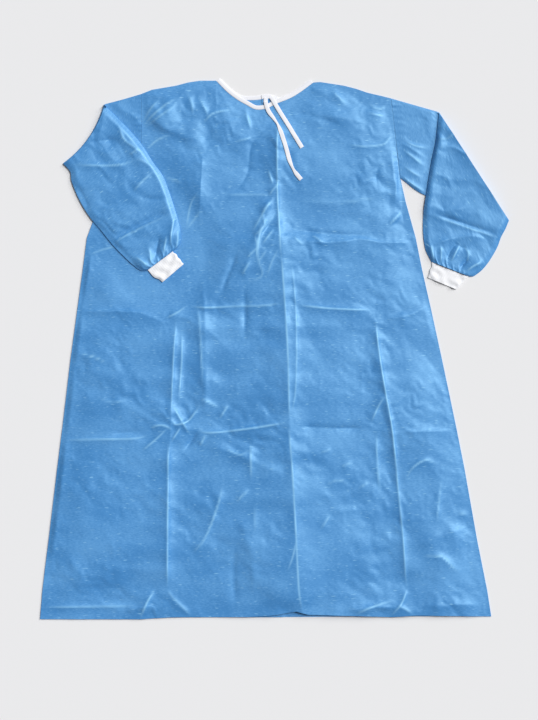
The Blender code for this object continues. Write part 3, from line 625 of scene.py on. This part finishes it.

# Painted highlight: the crests' attribute, with the pale threads, mixes the paler blue into the colour.
crest = blue_cloth.node_tree.nodes.new("ShaderNodeAttribute")
crest.attribute_name = "crest_highlight"
threads = maths("MULTIPLY_ADD", speckle(cut, 330, 5.0, 1.0), 9.0, -5.9, clamp=True)
lighter = blue_cloth.node_tree.nodes.new("ShaderNodeMix")
lighter.data_type = "RGBA"
lighter.inputs["B"].default_value = THREAD_AND_HIGHLIGHT_BLUE
link(*maths("MULTIPLY_ADD", (crest, "Fac"), 1.1, threads, clamp=True), lighter, "Factor")
link(colour, "Color", lighter, "A")
link(lighter, "Result", cloth_shader, "Base Color")

share = maths("MULTIPLY_ADD", speckle(cut, 7, 1.0, 1.0), 2.2, -0.6, clamp=True)
wrinkles = maths("MULTIPLY", speckle(cut, 55, 1.0, 3.0, "RIDGED_MULTIFRACTAL"), share)
dots = maths("MULTIPLY", cells(cut, 480.0, 0.35), DOT_HEIGHT)
height = maths("MULTIPLY_ADD", flecks, FLECK_HEIGHT, maths("ADD", wrinkles, dots))
raise_bump(cloth_shader, height, MM, 1.0)


def closer_at_folds(marks, steps):
    """Places from mark to mark, so many steps to each: t - CLOSER * sin(2 pi t) / (2 pi) of the way."""
    parts = []
    for start, end, count in zip(marks[:-1], marks[1:], steps):
        t = np.arange(count) / count
        parts.append(start + (end - start) * (t - CLOSER * np.sin(2 * np.pi * t) / (2 * np.pi)))
    return np.concatenate(parts + [[marks[-1]]])


columns = [column_line(column) for column in range(LEFT_SIDE, RIGHT_SIDE + 1)]
front_x, front_y = panel_grid(columns, closer_at_folds(range(5), SPAN_STEPS),
                              closer_at_folds(CROSS_HEIGHTS, CROSS_STEPS),
                              np.linspace(0, 1, ROWS_ABOVE + 1)[1:], FRONT_TOP, HEM_LINE)
front_x[:, 0] += GAP / 2 * (front_y[:, 0] > UNDERARM_Y - 1)
front_x[:, -1] -= GAP / 2 * (front_y[:, -1] > UNDERARM_Y - 1)
front_top = front_height(front_x, front_y)
front = cloth_wall("gown_front", front_x, front_y, front_top, UNDER_STEP, "front",
                   creased(front_x, front_y, FRONT_CREASES, 11)[1])
neck_columns = slice(SPAN_STEPS[0], sum(SPAN_STEPS[:3]) + 1)
front_neck = listed(front_x[-1], front_y[-1])[neck_columns]

# Back halves. The same nonwoven, cut in two and left open down the centre back, the right half lying
# over the left one. They lie flat on the table under the front, joined to it along the sides.
NECK_BACK = ((-120, 588), (-100, 569.5), (-76, 555), (-46, 553), (-15, 556), (12, 550), (32, 556.5),
             (54, 569.5), (76, 586))
BACK_HEM = ((-516, -591), (476, -586))
BACK_TOP = between_shoulders(smooth_route(NECK_BACK, 73) - (0, TAPE_WIDTH / 2 + GAP))
BACK_STEP = 4                # the lower face has every fourth row and column
STEP_START, STEP_END = 3.0, 14.0  # past the lap the right half comes down to the table between these
BACK_ROWS, YOKE_ROWS = 141, 29
LEFT_COLUMNS, RIGHT_COLUMNS = (101,), (13, 5, 85)  # from line to line


def lap_line(side, past=0.0):
    """The lap's left (-1) or right (1) edge as X at each y, moved so far to the right."""
    return lambda y: back_centre(y) + side * half_lap(y) + past


def back_half(name, side, lines, counts, node):
    """A flat panel from its side seam past the centre back, its face lying on the table, between lines
    of X at each y. Where they lap, the right half steps up onto the left one."""
    columns = np.concatenate([np.linspace(k, k + 1, n)[min(k, 1):] for k, n in enumerate(counts)])
    lifted = LAYER * smooth(2 - columns) * (side > 0)
    x, y = panel_grid(lines, columns, np.linspace(0, UNDERARM_Y - HEM_Y, BACK_ROWS),
                      np.linspace(0, 1, YOKE_ROWS)[1:], BACK_TOP, BACK_HEM)
    edge = 0 if side < 0 else -1
    x[:, edge] -= side * GAP / 2 * (y[:, 0] > UNDERARM_Y - 1)
    made = cloth_wall(name, x, y, np.broadcast_to(lifted + CLOTH, x.shape), BACK_STEP, node)
    neck = (x[-1] > SHOULDER_LEFT[-1][0] + 1) & (x[-1] < SHOULDER_RIGHT[0][0] - 1)
    return made, listed(x[-1], y[-1], lifted)[neck]


back_left, back_neck_left = back_half("gown_back_left", -1, (column_line(LEFT_SIDE), lap_line(1)),
                                      LEFT_COLUMNS, "back_left")
right_lines = lap_line(-1), lap_line(1, STEP_START), lap_line(1, STEP_END), column_line(RIGHT_SIDE)
back_right, back_neck_right = back_half("gown_back_right", 1, right_lines, RIGHT_COLUMNS, "back_right")

# Sleeves. Each is one cut of the same cloth sewn to a tube, set into the armhole, folded down beside the
# neck and laid back over itself, the left one on the chest, the right one mostly on the table. The end
# is gathered into the cuff.
# columns: A's X and Y, B's X and Y, bow of the ring between them
LEFT_UPPER_ARM = ((-293, 562, -292, 377, 0), (-334, 550, -380, 393, 4), (-376, 539, -466, 409, 14))
LEFT_FOREARM = (
    (-376, 539, -466, 409, 14), (-343, 507, -450, 391, 8), (-316, 479, -447, 371, 3),
    (-291, 449, -437, 344, 0), (-268, 413, -422, 314, 0), (-246, 382, -404, 287, 0),
    (-233, 351, -382, 261, 0), (-222, 318, -358, 231, 0), (-212, 285, -338, 210, 0),
    (-206, 256, -316, 189, 0), (-208, 232, -296, 174, 0), (-222, 217, -281, 173, 0),
)
RIGHT_UPPER_ARM = ((256, 552, 276, 377, 0), (291, 542, 328, 340, 0), (326, 532, 421, 311, 0),
                   (361, 522, 515, 284, 0))
RIGHT_FOREARM = (
    (361, 522, 515, 284, 0), (357, 487, 507, 265, 0), (353, 454, 498, 248, 0), (345, 417, 490, 226, 0),
    (339, 382, 479, 206, 0), (333, 344, 468, 189, 0), (327, 302, 456, 175, 0), (326, 258, 445, 166, 0),
    (331, 221, 437, 161, 0), (344, 193, 428, 160, 0),
)
LEFT_SLEEVE_CREASES = (
    (-4.8, 6, 8, -357, 230, -341, 250, -285, 279, -230, 306),
    (2.5, 3, 9, -354, 224, -338, 243, -283, 272, -228, 298),
    (2.0, 3, 14, -358, 507, -318, 465, -281, 417, -252, 371, -233, 320, -219, 267),
    (2.5, 3, 8, -343, 496, -332, 463, -307, 443, -288, 432),
    (-3.1, 5, 8, -413, 454, -376, 459, -338, 462),
    (2.7, 5, 10, -450, 406, -402, 404, -343, 405, -299, 417),
    (2.4, 3, 8, -305, 421, -283, 410, -261, 397),
    (2.4, 3, 8, -318, 428, -299, 439),
    (2.5, 3, 9, -263, 393, -290, 369, -312, 344),
    (-2.9, 5, 7, -301, 333, -261, 331, -228, 331),
    (-2.5, 5, 6, -402, 292, -378, 280, -358, 258, -343, 243),
    (2.5, 10, 12, -376, 529, -378, 496, -391, 461),
    (-2.5, 12, 14, -433, 369, -420, 333, -400, 302),
    # gathers above the cuff
    (4.1, 3, 9, -217, 302, -226, 258, -228, 221),
    (3.4, 3, 9, -211, 267, -213, 234, -219, 217),
    (3.1, 3, 9, -237, 250, -241, 226, -244, 208),
    (-4.1, 5, 6, -252, 252, -259, 219, -263, 195),
    (3.1, 3, 9, -277, 226, -272, 201, -272, 182),
    (2.7, 4, 9, -307, 204, -290, 193, -277, 179),
)
RIGHT_SLEEVE_CREASES = (
    (-3.9, 7, 9, 342, 300, 379, 289, 430, 272, 497, 250),
    (2.0, 3, 9, 342, 294, 379, 283, 430, 265, 493, 244),
    (2.8, 6, 11, 328, 226, 355, 232, 383, 242, 433, 249, 478, 239),
    (2.8, 6, 10, 357, 441, 388, 444, 412, 432, 432, 421),
    (4.4, 4, 22, 368, 518, 412, 452, 460, 373, 502, 298),
    (4.8, 20, 3, 355, 509, 348, 450, 339, 395, 333, 340, 331, 274),
    (3.1, 12, 14, 342, 302, 386, 305, 438, 316),
    (2.4, 4, 10, 397, 479, 379, 463, 357, 461),
    (-2.4, 6, 8, 390, 241, 403, 228, 430, 219),
    # gathers above the cuff
    (-4.8, 4, 5, 401, 234, 388, 219, 377, 195),
    (3.7, 3, 9, 408, 234, 399, 215, 386, 190),
    (3.4, 4, 10, 364, 228, 366, 210, 364, 188),
    (3.1, 3, 9, 342, 232, 346, 215, 350, 193),
    (-4.1, 4, 5, 430, 206, 419, 193, 405, 173),
    (3.1, 3, 8, 460, 193, 438, 184, 419, 170),
    (2.7, 4, 10, 414, 228, 425, 212, 423, 190),
)
RIGHT_UPPER_CREASES = (
    (-2.4, 5, 8, 271, 509, 302, 507, 339, 505),
    (2.7, 6, 11, 269, 459, 300, 441, 333, 419),
    (2.0, 3, 8, 284, 459, 309, 448, 333, 443),
    (2.2, 3, 9, 282, 439, 306, 421, 328, 402),
    (-2.2, 6, 7, 284, 468, 313, 465, 342, 463),
    (2.2, 3, 8, 276, 380, 302, 364, 331, 346),
    (2.0, 4, 9, 282, 404, 300, 391, 324, 377),
)
# Small gathers at the cuff. columns: share of the way from A to B, height, half width as a share, length
GATHERS = (
    (0.06, 1.0, 0.022, 24), (0.17, 1.5, 0.018, 32), (0.31, 1.1, 0.026, 20), (0.42, 1.6, 0.018, 30),
    (0.57, 1.2, 0.024, 22), (0.71, 1.5, 0.020, 34), (0.83, 1.1, 0.026, 20), (0.94, 1.0, 0.020, 26),
)
ACROSS = np.linspace(0, 1, 74)
ROUND = np.linspace(-np.pi / 2, np.pi / 2, 7)[1:-1]
ARM_RINGS, FOLD_RINGS, FOREARM_RINGS = 37, 15, 120
SEAM_RINGS = 8               # the first of them are puckered by the armhole seam
SLEEVE_LOFT, SLEEVE_ROUND = 3.4, 17.0  # the forearm's loft, and how far in from its edges it is reached
# Facets of the forearm and of the upper arm. columns: height, size, what its seed adds to the sleeve's
FOREARM_FACETS = ((1.5, 46, 1), (0.8, 21, 2))
UPPER_FACETS = ((1.2, 38, 3),)


def ring(a, b, bow, low, high, inset, across, proud=0.0):
    """One loop round a flattened tube, as plan points, the way off its line, levels, distances from the
    nearer edge, and shares of the way from A to B: the lower layer from A to B, a half circle round edge
    B, the upper layer back, and a half circle round edge A. The bow pushes its middle sideways like a
    parabola, and both layers stand out by proud."""
    length = np.linalg.norm(b - a)
    along = (b - a) / length
    normal = np.array([-along[1], along[0]])
    radius = (high - low) / 2
    corner = inset + radius * (1 - np.cos(ROUND))
    layer = inset + radius + across * (length - 2 * (inset + radius))
    s = np.concatenate([layer, length - corner, layer[::-1], corner[::-1]])
    level = np.concatenate([low - proud + 0 * layer, low + radius * (1 + np.sin(ROUND)),
                            high + proud + 0 * layer, high - radius * (1 + np.sin(ROUND))])
    share = s / length
    plan = a + along * s[:, None] + normal * (4 * bow * share * (1 - share))[:, None]
    return plan, normal, level, np.minimum(s, length - s), share


def tube(name, outer, inner, maps, side, finish, slot, node, white=None):
    """A closed wall between two stacks of loops, one inside the other, joined at both ends."""
    rings, around = outer.shape[:2]
    index = np.arange(rings * around).reshape(rings, around)
    inside = index + rings * around
    first = grid_faces(np.stack([index[0], inside[0]]), closed=True)[:, ::-1]
    last = grid_faces(np.stack([index[-1], inside[-1]]), closed=True)
    faces = np.concatenate([grid_faces(index, True), grid_faces(inside, True)[:, ::-1], first, last])
    points = np.concatenate([outer.reshape(-1, 3), inner.reshape(-1, 3)])
    return piece(name, points, faces[:, ::side].tolist(), maps, finish, node, white)


def gathers_height(share, to_end):
    """Sum of ridges that run from the cuff up the sleeve: height * exp(-((share - place) / width)^2),
    fanned out away from the cuff and dying out over each one's length."""
    total = 0.0 * share
    for place, height, width, length in GATHERS:
        fanned = 0.5 + (place - 0.5) * (1 - 0.18 * smooth(to_end / length))
        total = total + height * np.exp(-((share - fanned) / width) ** 2) * smooth(1 - to_end / length)
    return total


def sleeve(name, side, upper_arm, forearm, creases, upper_creases, lift, seed, node):
    """A flattened tube that leaves the armhole, rolls over at its fold and comes back over itself. A level
    L over the table becomes m - (m - L) cos(turn), with m the roll's middle, and its plan moves outward by
    (m - L) sin(turn). Creases, facets and gathers stand on the layer that shows."""
    middle = 2 * LAYER - GAP / 2
    rows = np.vstack([smooth_route(upper_arm, ARM_RINGS)[:-1], np.repeat([forearm[0]], FOLD_RINGS, 0),
                      smooth_route(forearm, FOREARM_RINGS)[1:]]).astype(float)
    rolled = slice(ARM_RINGS - 1, ARM_RINGS - 1 + FOLD_RINGS)
    arm, lower = slice(0, rolled.start), slice(rolled.stop, None)
    turn = np.zeros((len(rows), 1))
    turn[rolled, 0] = np.linspace(0, np.pi, FOLD_RINGS)
    turn[lower] = np.pi
    centre = (rows[:, 0:2] + rows[:, 2:4]) / 2
    travelled = np.cumsum(np.linalg.norm(np.diff(centre, axis=0, prepend=centre[:1]), axis=1))[:, None]
    to_end = travelled[-1] - travelled
    stacks, crest_highlight = [], []
    for low, high, inset in ((0.0, 2 * LAYER - GAP, 0.0), (CLOTH, LAYER, CLOTH)):
        rings = [ring(row[0:2], row[2:4], row[4], low, high, inset, ACROSS) for row in rows]
        plan, normal, level, margin, share = (np.array(part) for part in zip(*rings))
        outward = side * normal[:, None]
        plan[rolled] -= outward[rolled] * middle
        plan[0, :, 0] += side * GAP / 2
        plan += outward * ((middle - level) * np.sin(turn))[..., None]
        height = middle - (middle - level) * np.cos(turn)
        x, y = plan[lower, :, 0], plan[lower, :, 1]
        relief = SLEEVE_LOFT * smooth(margin[lower] / SLEEVE_ROUND)
        relief += gathers_height(share[lower], to_end[lower]) * smooth(margin[lower] / 6)
        folds, crests = creased(x, y, creases, seed)
        surface = folds + faceted(x, y, FOREARM_FACETS, seed) + 0.6
        relief += surface * smooth(margin[lower] / 8)
        shows = np.arange(level.shape[1]) < len(ACROSS)
        height[lower] += lift(x, y) + np.maximum(relief, 0) * shows
        # Painted highlight along the sharp crests of the layer that shows.
        white = 0 * level
        white[lower] = crests * shows
        x, y = plan[arm, :, 0], plan[arm, :, 1]
        beside = np.abs(route_distance(x, y, rows[rolled.stop - 1:, 0:2])[0])
        open_cloth = smooth((beside - 4) / 14) * smooth(margin[arm] / 8)
        folds, crests = creased(x, y, upper_creases, seed)
        surface = folds + faceted(x, y, UPPER_FACETS, seed) + 0.8
        sewn = slice(0, SEAM_RINGS)
        surface[sewn] += seam_puckers(y[sewn], side * (x[sewn] - rows[sewn, :1]), seed)
        height[arm] += np.maximum(surface * open_cloth, 0) * (level[arm] > high - 0.01)
        white[arm] = crests * (level[arm] > high - 0.01)
        crest_highlight.append(white.ravel())
        stacks.append(np.concatenate([plan, height[..., None]], -1))
        if not inset:
            widths = np.linalg.norm(rows[:, 2:4] - rows[:, 0:2], axis=1)[:, None]
            maps = listed(share * widths, travelled)
    return tube(name, *stacks, np.concatenate([maps, maps]), -side, blue_cloth, "gown_cloth", node,
                np.concatenate(crest_highlight))


def left_lift(x, y):
    """How much the front panel's rise lifts the left forearm that lies on it."""
    return front_rise(x, y) + GAP * smooth((x - section_at(LEFT_SIDE, y)) / 40)


def right_lift(x, y):
    """The right forearm comes down to the table past the lower edge of the upper arm beneath it."""
    past = line_at([(row[2], row[3]) for row in RIGHT_UPPER_ARM], x) - y
    return -2 * LAYER * smooth((past - 25) / 30)


sleeve_left = sleeve("gown_sleeve_left", -1, LEFT_UPPER_ARM, LEFT_FOREARM, LEFT_SLEEVE_CREASES,
                     (), left_lift, 61, "sleeve_left")
sleeve_right = sleeve("gown_sleeve_right", 1, RIGHT_UPPER_ARM, RIGHT_FOREARM, RIGHT_SLEEVE_CREASES,
                      RIGHT_UPPER_CREASES, right_lift, 71, "sleeve_right")

# Cuffs. Short tubes of white rib-knit polyester, the ribs running along the arm, sewn to the gathered
# sleeve ends and left raw at the wrist.
RIB, KNIT, CUFF_RIBS, CUFF_INSET = 0.5, 1.3, 14, 2.0
RIB_SHOWN = 0.12             # the ribs lie half flat, pulled out to the sleeve's width
CUFF_RINGS, CUFF_WAVE, RAGGED = 25, 1.2, 0.7
LEFT_CUFF = ((-212, 203, -268, 161), (-200, 187, -246, 148))
RIGHT_CUFF = ((342, 175, 412, 146), (337, 158, 399, 132))


# Rib knit: a fine bump of loops over the raised ribs, and a faint sheen of the yarn.
white_knit, knit_shader, cut = new_finish("white_rib_knit", 0.85)
knit_shader.inputs["Base Color"].default_value = (0.86, 0.87, 0.90, 1)
knit_shader.inputs["Sheen Weight"].default_value = 0.15
raise_bump(knit_shader, cells(cut, 900.0, 0.25), 0.4 * MM, 0.3)


def cuff(name, side, sleeve_end, rows, bed, seed, node):
    """A flattened ribbed tube: rings between its table's rows, each a loop of two layers whose faces stand
    out by the ribs' cosine, its first ring a seam's gap from the sleeve's end. The upper layer has soft
    waves, and its raw end and sides are uneven by less than a millimetre."""
    a, b = np.array(sleeve_end[0:2], float), np.array(sleeve_end[2:4], float)
    along = (b - a) / np.linalg.norm(b - a)
    away = np.array([-along[1], along[0]]) * side * -1
    first = np.concatenate([a + along * CUFF_INSET + away * GAP, b - along * CUFF_INSET + away * GAP])
    rows = smooth_route(np.vstack([first, rows]), CUFF_RINGS)
    rows[1:] += RAGGED * waves(np.arange(CUFF_RINGS - 1.0)[:, None], np.array([0, 90, 200, 310.0]), 9, seed)
    across = np.linspace(0, 1, 8 * CUFF_RIBS + 1)
    ribs = RIB_SHOWN * (0.5 - 0.5 * np.cos(2 * np.pi * CUFF_RIBS * across))
    stacks = []
    for low, high, inset in ((RIB, RIB + 2 * KNIT + GAP, 0.0), (RIB + KNIT, RIB + KNIT + GAP, KNIT)):
        proud = 0.0 if inset else ribs
        rings = [ring(row[0:2], row[2:4], 0.0, low, high, inset, across, proud) for row in rows]
        plan, _, level, margin, _ = (np.array(part) for part in zip(*rings))
        x, y = plan[..., 0], plan[..., 1]
        upper = (level > (low + high) / 2) * smooth(margin / 6)
        upper = upper * np.linspace(0, 1, CUFF_RINGS)[:, None] ** 0.5
        level = level + bed(x, y) + upper * CUFF_WAVE * (1 + waves(x, y, 22, seed + 1))
        stacks.append(np.concatenate([plan, level[..., None]], -1))
    maps = np.concatenate(stacks).reshape(-1, 3)[:, :2]
    return tube(name, *stacks, maps, -side, white_knit, "cuff_knit", node)


cuff_left = cuff("gown_cuff_left", -1, LEFT_FOREARM[-1], LEFT_CUFF,
                 lambda x, y: 2 * LAYER + front_rise(x, y), 81, "cuff_left")
cuff_right = cuff("gown_cuff_right", 1, RIGHT_FOREARM[-1], RIGHT_CUFF, lambda x, y: 0 * x, 91, "cuff_right")

# Neck tape. White nonwoven folded to a flat strip 9 mm wide and stitched over the raw neckline, its two
# free ends hanging from the back corners as ties.
BINDING_PROUD, TAPE, TIE_CLEARANCE, TIE_SAG = 0.6, 1.3, 0.8, 0.6
# columns: X, Y, share of the width that faces up, bed
TIE_RIGHT = (
    (-9, 556, 1, "back"), (-5, 550, 1, "binding"), (0, 541, 1, "binding"),
    (6, 531, 1, "binding"), (14, 518, 1, "front"), (29, 494, 1, "front"),
    (44, 469, 1, "front"), (60, 443, 1, "front"),
)
TIE_LEFT = (
    (-20, 553, 1, "back"), (-20, 547, 1, "back"), (-19.5, 542, 1, "binding"),
    (-17, 532, 1, "binding"), (-12, 521, 1, "binding"), (-3, 509, 0.8, "front"),
    (6, 495, 0.55, "front"), (14, 476, 1, "front"), (24, 446, 1, "front"),
    (32, 417, 1, "front"), (40, 397, 0.6, "front"), (48, 385, 1, "front"),
    (58, 373, 1, "front"),
)


# Folded white nonwoven: matte, with faint blotches as bump.
white_tape, tape_shader, cut = new_finish("white_tape", 0.7)
tape_shader.inputs["Base Color"].default_value = (0.82, 0.83, 0.88, 1)
raise_bump(tape_shader, speckle(cut, 500, 2.0, 2.0), 0.4 * MM, 0.3)


def strip(name, x, y, top, under, node):
    """A closed strip of tape: a grid of upper points, the same grid at its lower face, and a rim."""
    index = np.arange(x.size).reshape(x.shape)
    edge = border(index)
    after = np.roll(edge, -1)
    rim = np.stack([after, edge, edge + x.size, after + x.size], -1)
    faces = np.concatenate([grid_faces(index), grid_faces(index)[:, ::-1] + x.size, rim])
    if np.cross([x[0, -1] - x[0, 0], y[0, -1] - y[0, 0]], [x[-1, 0] - x[0, 0], y[-1, 0] - y[0, 0]]) < 0:
        faces = faces[:, ::-1]
    steps = np.cumsum(np.hypot(np.diff(x[:, 0], prepend=x[0, 0]), np.diff(y[:, 0], prepend=y[0, 0])))
    maps = listed(np.linspace(0, TAPE_WIDTH, x.shape[1]), steps[:, None])
    points = np.concatenate([listed(x, y, top), listed(x, y, under)])
    return piece(name, points, faces.tolist(), np.concatenate([maps, maps]), white_tape, node)


def alongside(route, across):
    """X and Y of the points that lie so far to the right of each point of a route."""
    right = right_of(route)
    return route[:, :1] + right[:, :1] * across, route[:, 1:] + right[:, 1:] * across


def binding(name, seam, under, thick, node):
    """Folded tape along a neckline's own points, a seam's gap off the panel's edge, its section a strip
    with rounded edges."""
    share = np.array((0.0, 0.05, 0.14, 0.35, 0.6, 0.8, 0.93, 1.0))
    x, y = alongside(seam, -(GAP + TAPE_WIDTH * share))
    low = under(x, y)
    high = low + thick * (1 - 0.4 * np.abs(2 * share - 1) ** 6)
    return strip(name, x, y, high, low, node)


def tie(name, rows, node):
    """A free end of the tape, laid over what each row of its table names."""
    numbers = smooth_route([row[:3] for row in rows], 12 * len(rows))
    place = np.linspace(0, len(rows) - 1 - 1e-6, len(numbers))
    kinds = [rows[int(round(p))][3] for p in place]
    middle, facing = numbers[:, :2], np.clip(numbers[:, 2], 0.4, 1)
    across = np.array((-0.5, -0.42, -0.2, 0.0, 0.2, 0.42, 0.5)) * TAPE_WIDTH
    x, y = alongside(middle, across * facing[:, None])
    on_front = front_height(x, y) + TIE_CLEARANCE
    beds = {"back": np.full(x.shape, 2 * LAYER), "binding": on_front + BINDING_PROUD, "front": on_front}
    bed = np.array([beds[kind][i] for i, kind in enumerate(kinds)])
    bed = np.maximum(bed, bed.max(1)[:, None] - TIE_SAG)
    return strip(name, x, y, bed + TAPE * (1 - 0.35 * np.abs(across / across[-1]) ** 6), bed, node)


def level_of(line):
    """A binding's bed at the level of the back panel's own neckline points."""
    return lambda x, y: line[:, 2:] + 0 * x


binding_front = binding("gown_binding_front", front_neck, lambda x, y: front_height(x, y) - CLOTH,
                        CLOTH + BINDING_PROUD, "neck_binding_front")
binding_left = binding("gown_binding_back_left", back_neck_left[:, :2], level_of(back_neck_left), CLOTH,
                       "neck_binding_back_left")
binding_right = binding("gown_binding_back_right", back_neck_right[:, :2], level_of(back_neck_right),
                        CLOTH, "neck_binding_back_right")
tie_right = tie("gown_tie_right", TIE_RIGHT, "neck_tie_right")
tie_left = tie("gown_tie_left", TIE_LEFT, "neck_tie_left")

# Table, light and camera. A plain pale sheet under the gown, a soft light high at the upper right that
# brings out the cloth's sheen, a weaker one low beside it, and a camera straight above.
def lamp(name, energy, towards, degrees):
    """A sun lamp that shines from the direction it is given, as wide as so many degrees of the sky."""
    data = bpy.data.lights.new(name, "SUN")
    data.energy = energy
    data.angle = np.radians(degrees)
    placed(name, data).rotation_euler = Vector(towards).to_track_quat("Z", "Y").to_euler()


LENS, SENSOR = 85, 36        # millimetres
VIEW_HEIGHT = 1.584          # metres from the picture's top to its bottom
VIEW_MIDDLE = (-0.01265, -0.0231)

ground_mesh = bpy.data.meshes.new("ground")
ground_mesh.from_pydata([(-6, -6, 0), (6, -6, 0), (6, 6, 0), (-6, 6, 0)], [], [(0, 1, 2, 3)])
ground_finish = bpy.data.materials.new("pale_ground")
ground_finish.use_nodes = True
ground_shader = ground_finish.node_tree.nodes["Principled BSDF"]
ground_shader.inputs["Base Color"].default_value = (0.80, 0.80, 0.81, 1)
ground_shader.inputs["Roughness"].default_value = 0.9
ground_shader.inputs["Specular IOR Level"].default_value = 0.0
ground_mesh.materials.append(ground_finish)
placed("ground", ground_mesh)

lamp("sheen_light", 2.5, (0.46, 0.32, 0.84), 20)
lamp("low_light", 1.25, (0.64, 0.44, 0.42), 24)

world = bpy.data.worlds.new("pale_room")
world.use_nodes = True
sky = world.node_tree.nodes["Background"]
sky.inputs["Color"].default_value = (0.97, 0.98, 1.0, 1)
sky.inputs["Strength"].default_value = 0.18
bpy.context.scene.world = world

lens = bpy.data.cameras.new("overhead")
lens.lens = LENS
camera = placed("overhead", lens)
camera.location = (*VIEW_MIDDLE, LENS * VIEW_HEIGHT / SENSOR)
bpy.context.scene.camera = camera
bpy.context.scene.view_settings.view_transform = "Standard"
